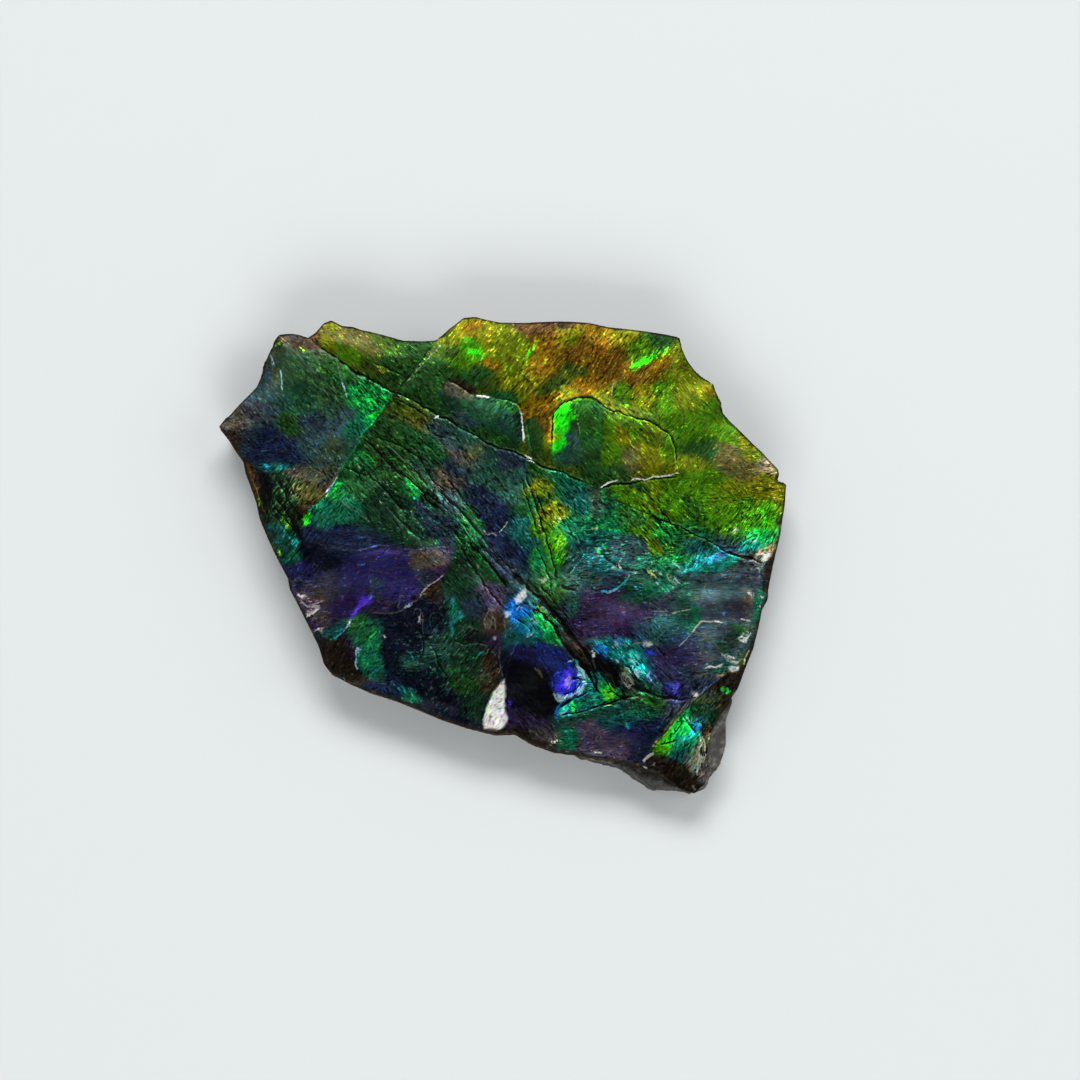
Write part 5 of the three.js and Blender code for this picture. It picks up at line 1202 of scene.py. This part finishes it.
# The side walls: stacked lamellae over the dull brown layer that the shell was cast on.
LAMELLA = 0.07  # mm, the thickness of one lamella
bent = 0.8 * clouds(place[:, 0], place[:, 1], 1.0, 53, 2)
layers = clouds(place[:, 2] / LAMELLA + bent, place[:, 0] * 0.2, 1.0, 54, 2)
wall_tone = 0.6 * layers + 0.5 * clouds(place[:, 0], place[:, 1] + place[:, 2], 0.4, 55, 3)
wall_ink = laid_on(INKS["peat"], INKS["brown"], step_up(wall_tone, -0.6, 0.7))
wall_ink = laid_on(wall_ink, INKS["tan"], 0.7 * step_up(wall_tone, 0.62, 0.95))
nacre_edge = step_up(place[:, 2], sheet_floor + 0.45, sheet_floor + 0.6) * step_up(layers, 0.0, 0.5)
wall_ink = laid_on(wall_ink, 0.9 * paint, 0.45 * nacre_edge)
# The ledges low on the back wall keep some of the nacre's colour.
back_ledge = step_up(outward[:, 2], 0.2, 0.6) * step_up(place[:, 1], -3.0, 4.0)
back_ledge *= step_up(wall_tone, -0.9, 0.3)
wall_ink = laid_on(wall_ink, 0.75 * paint, back_ledge)
paint = laid_on(wall_ink, paint, on_top)
flash_and_glint_share *= on_top
splits[:, 3] *= on_top
veins_and_highlights[:, 3] *= on_top
dull = dull * on_top + 0.85 * (1 - on_top) * (1 - back_ledge)

# Move the skin: the top takes its evened level and relief and rounds off at its edge, and the walls lose a
# little to the lamellae. Nothing rises out of the solid's box.
EDGE_DROP, EDGE_REACH = 0.05, 0.08  # mm, how far the edge rounds down, and how far in
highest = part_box("ammolite_sheet")[1].z / MM - 0.01
top_height = level + relief * step_up(from_rim, 0.0, 0.3) - EDGE_DROP * np.exp(-from_rim / EDGE_REACH)
top_height = np.minimum(top_height, highest)
place[:, 2] += (top_height - place[:, 2]) * on_top
bite = (0.05 + 0.05 * layers + 0.04 * wall_tone) * (1 - on_top)
bite *= step_up(place[:, 2], sheet_floor, sheet_floor + 0.1)
sideways = outward * np.array([1, 1, 0])
place -= np.maximum(bite, 0)[:, None] * sideways
put_points(sheet, place)

sheet.data.transform(mathutils.Matrix.Scale(MM, 4))
bpy.ops.object.shade_smooth()


def paint_on(piece, name, colours, fourth=1.0):
    """Keeps a colour, and one number more, for each point of a piece, for its material to read."""
    layer = piece.data.attributes.new(name, "FLOAT_COLOR", "POINT")
    values = np.concatenate([colours, np.broadcast_to(fourth, len(colours))[:, None]], 1)
    layer.data.foreach_set("color", values.astype(np.float32).ravel())


# How strongly the finest streaks run each of three ways at each point. The material draws the streaks.
STREAK_TURNS = (-47, 52, 2)
ways = [np.maximum(0, np.cos(2 * (grain_turn - math.radians(turn)))) ** 1.5 for turn in STREAK_TURNS]
ways = np.stack(ways, 1) / np.sqrt(sum(way**2 for way in ways) + 0.05)[:, None]
paint_on(sheet, "nacre_ground", linear(paint), dull)
paint_on(sheet, "nacre_flash", linear(flash), np.clip(flash_and_glint_share, 0, 1))
paint_on(sheet, "streak_ways", ways, scratched * on_top * (1 - dull))
paint_on(sheet, "splits", splits[:, :3], splits[:, 3])
paint_on(sheet, "veins_and_highlights", veins_and_highlights[:, :3], veins_and_highlights[:, 3])
paint_on(sheet, "vein_ink", linear(vein_ink))


def feed(material, socket, value):
    """Sets an input of a node, or links it to an output: a given one, or the first of a given node."""
    if isinstance(value, bpy.types.Node):
        value = next(output for output in value.outputs if output.enabled)
    if isinstance(value, bpy.types.NodeSocket):
        material.node_tree.links.new(value, socket)
    else:
        socket.default_value = value


def add(material, kind, settings=None, *inputs, **named):
    """One shader node with its settings, and its inputs set or linked, in their order or by their names."""
    node = material.node_tree.nodes.new("ShaderNode" + kind)
    for name, value in (settings or {}).items():
        setattr(node, name, value)
    for socket, value in zip(node.inputs, inputs):
        feed(material, socket, value)
    for name, value in named.items():
        socket = next(s for s in node.inputs if s.name.replace(" ", "_") == name and s.enabled)
        feed(material, socket, value)
    return node


# Ammolite: natural fossil nacre, unpolished but glassy where it split clean. A lustrous coloured ground gives
# the sheen, crisp flecks of the flash colour paint the glitter as glints, and a fine bump with an uneven
# gloss breaks the sheen up as the tiny aragonite plates do.
PER_MM = 1 / MM
GRAIN_SIZE = 0.14  # mm from one grain to the next
FLAKE_SIZE = 0.2  # mm across one flake that has its own tint
WORN_SIZE = 0.5  # mm from one worn patch to the next
GLOSS_SIZE = 0.9  # mm from one dull patch to the next
BUMP_SIZE = 0.22  # mm from one small bump to the next
GLINT_SIZE = (0.55, 0.15, 0.3)  # mm from one glint to the next: along, across and down
SCRATCH_SIZE = (1.5, 0.45, 1.0)  # mm from one scratch to the next
FIBRE_SIZE = (0.32, 0.08, 0.2)  # mm from one fibre to the next
SCRATCHES = [(0.5, 0.04, -0.8), (0.57, 0.03, 1.0), (0.42, 0.025, 0.8)]  # where on the wave, half width, gleam
RIDGE = (0.56, 0.028)  # where on the glints' wave their bright ridges lie, and their half width
GAP_COLOUR = (0.0025, 0.0025, 0.002, 1)  # linear, the dark in an open split
FRAY = 3.0  # squares, how much the grain frays the edge of a line
SIDE_REACH = 1.2  # squares off a line, beyond which its side no longer counts
LEAST_LIGHT = 0.12  # how dark the silk may get, so that no spot goes black
TIMES = {"operation": "MULTIPLY"}
TIMES_PLUS = {"operation": "MULTIPLY_ADD"}
MINUS = {"operation": "SUBTRACT"}
LARGER = {"operation": "MAXIMUM"}
CLOSE_TO = {"operation": "COMPARE"}
SCALED = {"operation": "SCALE"}
EASED = {"interpolation_type": "SMOOTHSTEP"}
MIXED = {"data_type": "RGBA"}

nacre = bpy.data.materials.new("fossil nacre, split")
nacre.use_nodes = True
where = add(nacre, "TexCoord").outputs["Object"]
ground = add(nacre, "Attribute", {"attribute_name": "nacre_ground"})
glitter = add(nacre, "Attribute", {"attribute_name": "nacre_flash"})
ways = add(nacre, "Attribute", {"attribute_name": "streak_ways"})
way = add(nacre, "SeparateXYZ", None, ways.outputs["Vector"])
grains = add(nacre, "TexNoise", Vector=where, Scale=PER_MM / GRAIN_SIZE, Detail=2.0)
texture = add(nacre, "Math", TIMES_PLUS, grains, 0.6, -0.3)
scratches = glints = fibres = 0.0
for axis, turn in zip("XYZ", STREAK_TURNS):
    turned = add(
        nacre, "VectorRotate", {"rotation_type": "Z_AXIS"}, Vector=where, Angle=-math.radians(turn)
    )
    strewn = []
    for size, detail, swirl in ((GLINT_SIZE, 2.0, 0.8), (SCRATCH_SIZE, 2.0, 1.0), (FIBRE_SIZE, 1.0, 0.6)):
        drawn_out = add(nacre, "VectorMath", TIMES, turned, [PER_MM / length for length in size])
        strewn.append(add(nacre, "TexNoise", Vector=drawn_out, Scale=1.0, Detail=detail, Distortion=swirl))
    streaks, waves, strands = strewn
    centred = add(nacre, "Math", MINUS, streaks, 0.5)
    texture = add(nacre, "Math", TIMES_PLUS, centred, way.outputs[axis], texture)
    for height, half, gleam in SCRATCHES:
        level_line = add(nacre, "Math", CLOSE_TO, waves, height, half)
        scratch = add(nacre, "Math", TIMES, level_line, way.outputs[axis])
        scratches = add(nacre, "Math", TIMES_PLUS, scratch, gleam, scratches)
    ridge = add(nacre, "Math", CLOSE_TO, streaks, *RIDGE)
    glint = add(nacre, "Math", TIMES, ridge, way.outputs[axis])
    glints = add(nacre, "Math", LARGER, glints, glint)
    strand = add(nacre, "Math", MINUS, strands, 0.5)
    fibres = add(nacre, "Math", TIMES_PLUS, strand, way.outputs[axis], fibres)

# The flash, colour flecks and painted glints, comes through where the texture rises over a level that sinks
# as its share grows, and along the painted bright ridges of the glints.
share = glitter.outputs["Alpha"]
risen = add(nacre, "Math", TIMES_PLUS, share, 0.45, texture)
through = add(nacre, "MapRange", EASED, Value=risen, From_Min=0.19, From_Max=0.24)
bare = add(nacre, "MapRange", Value=share, From_Min=0.02, From_Max=0.35, To_Min=0.0, To_Max=0.85)
ridged = add(nacre, "Math", TIMES, glints, bare)
shown = add(nacre, "Math", LARGER, through, ridged)
coat = add(nacre, "Mix", MIXED, Factor=shown, A=ground.outputs["Color"], B=glitter.outputs["Color"])
flakes = add(nacre, "TexVoronoi", Vector=where, Scale=PER_MM / FLAKE_SIZE)
flake_tint = add(
    nacre, "VectorMath", TIMES_PLUS, flakes.outputs["Color"], (0.36, 0.3, 0.36), (0.82, 0.85, 0.82)
)
tinted = add(nacre, "VectorMath", TIMES, coat, flake_tint)

# The light and dark of the silk: its texture, the scratches where it is rubbed, some of them painted gleaming
# lines, and the finest fibres.
silky = ways.outputs["Alpha"]
strong = add(nacre, "Math", TIMES, texture, silky)
light = add(nacre, "MapRange", Value=strong, From_Min=-0.2, From_Max=0.2, To_Min=0.35, To_Max=1.65)
patchy = add(nacre, "TexNoise", Vector=where, Scale=PER_MM / WORN_SIZE, Detail=1.0)
bitten = add(nacre, "MapRange", Value=patchy, From_Min=0.38, From_Max=0.58, To_Min=0.15, To_Max=1.15)
rubbed = add(nacre, "Math", {"operation": "POWER"}, silky, 2.0)
marked = add(nacre, "Math", TIMES, rubbed, bitten)
darkened = add(nacre, "Math", TIMES_PLUS, scratches, marked, light)
fibrous = add(
    nacre, "MapRange", {"clamp": False}, Value=silky, From_Min=0.0, From_Max=1.0, To_Min=1.4,
    To_Max=4.2,
)
glittering = add(nacre, "Math", TIMES_PLUS, fibres, fibrous, darkened)
kept = add(nacre, "Math", LARGER, glittering, LEAST_LIGHT)
surface = add(nacre, "VectorMath", SCALED, Vector=tinted, Scale=kept)

# The drawn lines, open splits first and then the pale veins and painted highlights over them. A line is where
# its offset changes sign, and a split has a painted highlight, a bright lip, along its one side.
vein_and_highlight_colour = add(nacre, "Attribute", {"attribute_name": "vein_ink"})
for name, colour in (("splits", GAP_COLOUR), ("veins_and_highlights", vein_and_highlight_colour)):
    lines = add(nacre, "Attribute", {"attribute_name": name})
    line = add(nacre, "SeparateXYZ", None, lines.outputs["Vector"])
    to_line = add(nacre, "Math", {"operation": "ABSOLUTE"}, line.outputs["X"])
    beyond = add(nacre, "Math", MINUS, line.outputs["Y"], SIDE_REACH)
    off_line = add(nacre, "Math", LARGER, to_line, beyond)
    within = add(nacre, "Math", MINUS, line.outputs["Z"], off_line)
    frayed = add(nacre, "Math", TIMES_PLUS, grains, FRAY, within)
    drawn = add(nacre, "MapRange", EASED, Value=frayed, From_Min=1.1, From_Max=2.0)
    if name == "splits":
        # Painted highlight: the split's one side is lightened as if its lip caught the light.
        lip_highlight = add(nacre, "MapRange", EASED, Value=within, From_Min=-2.2, From_Max=-0.6)
        lit_side = add(
            nacre, "MapRange", Value=line.outputs["X"], From_Min=-0.5, From_Max=0.5, To_Min=0.0,
            To_Max=1.1,
        )
        lit = add(nacre, "Math", TIMES, lip_highlight, lit_side)
        lip_light = add(nacre, "Math", TIMES_PLUS, lit, lines.outputs["Alpha"], 1.0)
        surface = add(nacre, "VectorMath", SCALED, Vector=surface, Scale=lip_light)
    strength = add(nacre, "Math", TIMES, drawn, lines.outputs["Alpha"])
    surface = add(nacre, "Mix", MIXED, Factor=strength, A=surface, B=colour)

# The dull parts, where the nacre is gone, are rougher and no longer metallic.
dulled = ground.outputs["Alpha"]
metal = add(nacre, "MapRange", Value=dulled, From_Min=0.0, From_Max=0.7, To_Min=0.5, To_Max=0.0)
sheen = add(nacre, "TexNoise", Vector=where, Scale=PER_MM / GLOSS_SIZE, Detail=4.0)
gloss = add(nacre, "MapRange", Value=sheen, From_Min=0.3, From_Max=0.7, To_Min=0.28, To_Max=0.42)
rough = add(nacre, "Math", {"operation": "MULTIPLY_ADD", "use_clamp": True}, dulled, 0.45, gloss)
bumps = add(nacre, "TexNoise", Vector=where, Scale=PER_MM / BUMP_SIZE, Detail=3.0)
bump = add(nacre, "Bump", Strength=0.35, Distance=0.02 * MM, Height=bumps)
shader = nacre.node_tree.nodes["Principled BSDF"]
for name, value in (
    ("Base Color", surface), ("Metallic", metal), ("Roughness", rough), ("IOR", 1.55),
    ("Specular IOR Level", 0.05), ("Normal", bump),
):
    feed(nacre, shader.inputs[name], value)
sheet.data.materials.append(nacre)

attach(sheet, "root")
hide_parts("ammolite_sheet")


# The shale backing. On the real piece this is two millimetres of dark, thinly bedded mudstone that came away
# with the shell, broken at the sides and split flat underneath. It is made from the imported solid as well.
SHALE_SKIN = 0.155  # mm between the points of the shale's skin
BED, LUMP, GRIT = 0.16, 0.7, 0.32  # mm: the thickness of a bed, and the size of a lump and of a grain
shale = copy_of_node("shale_backing", "shale_matrix")
remesh(shale, SHALE_SKIN)
rock = points_of(shale)
facing = normals_of(shale)
rock_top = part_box("shale_backing")[1].z / MM
side = 1 - step_up(np.abs(facing[:, 2]), 0.5, 0.8)
bent = 0.9 * clouds(rock[:, 0], rock[:, 1], 1.6, 61, 3)
beds = clouds(rock[:, 2] / BED + bent, rock[:, 0] * 0.1, 1.0, 62, 3)
lumps = clouds(rock[:, 0], rock[:, 1] + 0.6 * rock[:, 2], LUMP, 63, 4)
grains = clouds(rock[:, 0] + rock[:, 2], rock[:, 1] - rock[:, 2], GRIT, 64, 2)
away = np.maximum(0, 0.06 + 0.09 * beds + 0.05 * lumps) * side
rock -= away[:, None] * facing * np.array([1, 1, 0])
is_roof = (facing[:, 2] > 0.6) & (rock[:, 2] > rock_top - 0.25)
rock[is_roof, 2] -= np.maximum(0, 0.05 + 0.06 * lumps[is_roof] + 0.03 * grains[is_roof])
is_sole = (facing[:, 2] < -0.7) & (rock[:, 2] < 0.06)
flaked = step_up(clouds(rock[:, 0], rock[:, 1], 4.5, 65, 3), 0.28, 0.31)
rock[is_sole, 2] += 0.05 * flaked[is_sole] + np.maximum(0, 0.02 * lumps[is_sole])
rock[:, 2] = np.clip(rock[:, 2], 0, rock_top)
put_points(shale, rock)

DARK, MID, PALE, RUSTY = (shade(value) for value in ("#1e1d1b", "#403e39", "#66645a", "#4c4034"))
rust = step_up(clouds(rock[:, 0], rock[:, 1], 2.2, 66, 3), 0.1, 0.6)
rock_paint = laid_on(DARK, MID, step_up(0.7 * beds + 0.6 * lumps, -0.7, 0.7))
rock_paint = laid_on(rock_paint, PALE, 0.75 * step_up(beds + 0.8 * grains, 0.35, 0.95))
rock_paint = laid_on(rock_paint, RUSTY, 0.5 * rust)
rock_paint *= (1 + 0.34 * grains)[:, None]
shale.data.transform(mathutils.Matrix.Scale(MM, 4))
bpy.ops.object.shade_smooth()
paint_on(shale, "rock_paint", linear(np.clip(rock_paint, 0, 1)))

# Shale: compacted mud, matt and dusty, with a faint sparkle of mica that the fine noise in the gloss gives.
DUST_SIZE = 0.12  # mm from one grain of dust to the next
mudstone = bpy.data.materials.new("bituminous shale, split")
mudstone.use_nodes = True
where = add(mudstone, "TexCoord").outputs["Object"]
colour = add(mudstone, "Attribute", {"attribute_name": "rock_paint"})
dust = add(mudstone, "TexNoise", Vector=where, Scale=PER_MM / DUST_SIZE, Detail=4.0)
dusty = add(mudstone, "MapRange", Value=dust, From_Min=0.3, From_Max=0.7, To_Min=0.45, To_Max=1.6)
toned = add(mudstone, "VectorMath", SCALED, Vector=colour.outputs["Color"], Scale=dusty)
matt = add(mudstone, "MapRange", Value=dust, From_Min=0.35, From_Max=0.65, To_Min=0.38, To_Max=0.8)
bump = add(mudstone, "Bump", Strength=0.8, Distance=0.08 * MM, Height=dust)
shader = mudstone.node_tree.nodes["Principled BSDF"]
for name, value in (("Base Color", toned), ("Roughness", matt), ("Normal", bump)):
    feed(mudstone, shader.inputs[name], value)
shale.data.materials.append(mudstone)

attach(shale, "root")
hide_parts("shale_backing")


# The floor: a plain pale sheet that the specimen lies on.
bpy.ops.object.select_all(action="DESELECT")
bpy.ops.mesh.primitive_plane_add(size=1.2, location=(0, 0, 0))
floor = bpy.context.object
floor.name = "floor"
pale = bpy.data.materials.new("pale matt board")
pale.use_nodes = True
shader = pale.node_tree.nodes["Principled BSDF"]
shader.inputs["Base Color"].default_value = (*linear(shade("#d8dcdc")), 1)
shader.inputs["Roughness"].default_value = 0.8
floor.data.materials.append(pale)

# The camera looks down from the front, 15 degrees off the vertical, from about a metre.
FRAME_WIDTH = 67.0 * MM
VIEW_ANGLE = math.radians(4)
AIM = (37, 13.5)  # squares to the right of and behind the grid's centre
SENSOR_WIDTH = 36
aim = mathutils.Vector((AIM[0] * SQUARE * MM, (AIM[1] * SQUARE - GRID_SHIFT) * MM, GRID_LEVEL * MM))
distance = FRAME_WIDTH / 2 / math.tan(VIEW_ANGLE / 2)
camera = bpy.data.objects.new("camera", bpy.data.cameras.new("camera"))
bpy.context.scene.collection.objects.link(camera)
camera.data.sensor_width = SENSOR_WIDTH
camera.data.lens = SENSOR_WIDTH / 2 / math.tan(VIEW_ANGLE / 2)
camera.location = aim + distance * mathutils.Vector((0, -math.sin(LEAN), math.cos(LEAN)))
camera.rotation_euler = (LEAN, 0, 0)
bpy.context.scene.camera = camera


# Soft studio light: a broad box behind the specimen and one in front of it, and weaker ones at its sides.
def softbox(name, place, size, power):
    """A soft rectangular lamp that faces the specimen."""
    lamp = bpy.data.objects.new(name, bpy.data.lights.new(name, "AREA"))
    bpy.context.scene.collection.objects.link(lamp)
    lamp.data.shape = "RECTANGLE"
    lamp.data.size, lamp.data.size_y = size
    lamp.data.energy = power
    lamp.location = place
    lamp.rotation_euler = mathutils.Vector(place).to_track_quat("Z", "Y").to_euler()


softbox("back light", (0.0, 0.42, 0.46), (0.5, 0.28), 3.05)
softbox("left light", (-0.5, 0.05, 0.36), (0.3, 0.4), 0.2)
softbox("right light", (0.5, 0.05, 0.36), (0.3, 0.4), 0.75)
softbox("front light", (0.0, -0.5, 0.3), (0.5, 0.25), 2.25)

# The room is pale all round and dark overhead, so that the top of the shell keeps its depth of colour.
world = bpy.data.worlds.new("room")
world.use_nodes = True
backdrop = world.node_tree.nodes["Background"]
around = add(world, "TexCoord")
height = add(world, "SeparateXYZ", None, around.outputs["Generated"])
dim = add(
    world, "MapRange", Value=height.outputs["Z"], From_Min=0.6, From_Max=0.85, To_Min=0.45,
    To_Max=0.02,
)
feed(world, backdrop.inputs["Color"], (*linear(shade("#e8ecf0")), 1))
feed(world, backdrop.inputs["Strength"], dim)
bpy.context.scene.world = world
bpy.context.scene.view_settings.view_transform = "Standard"
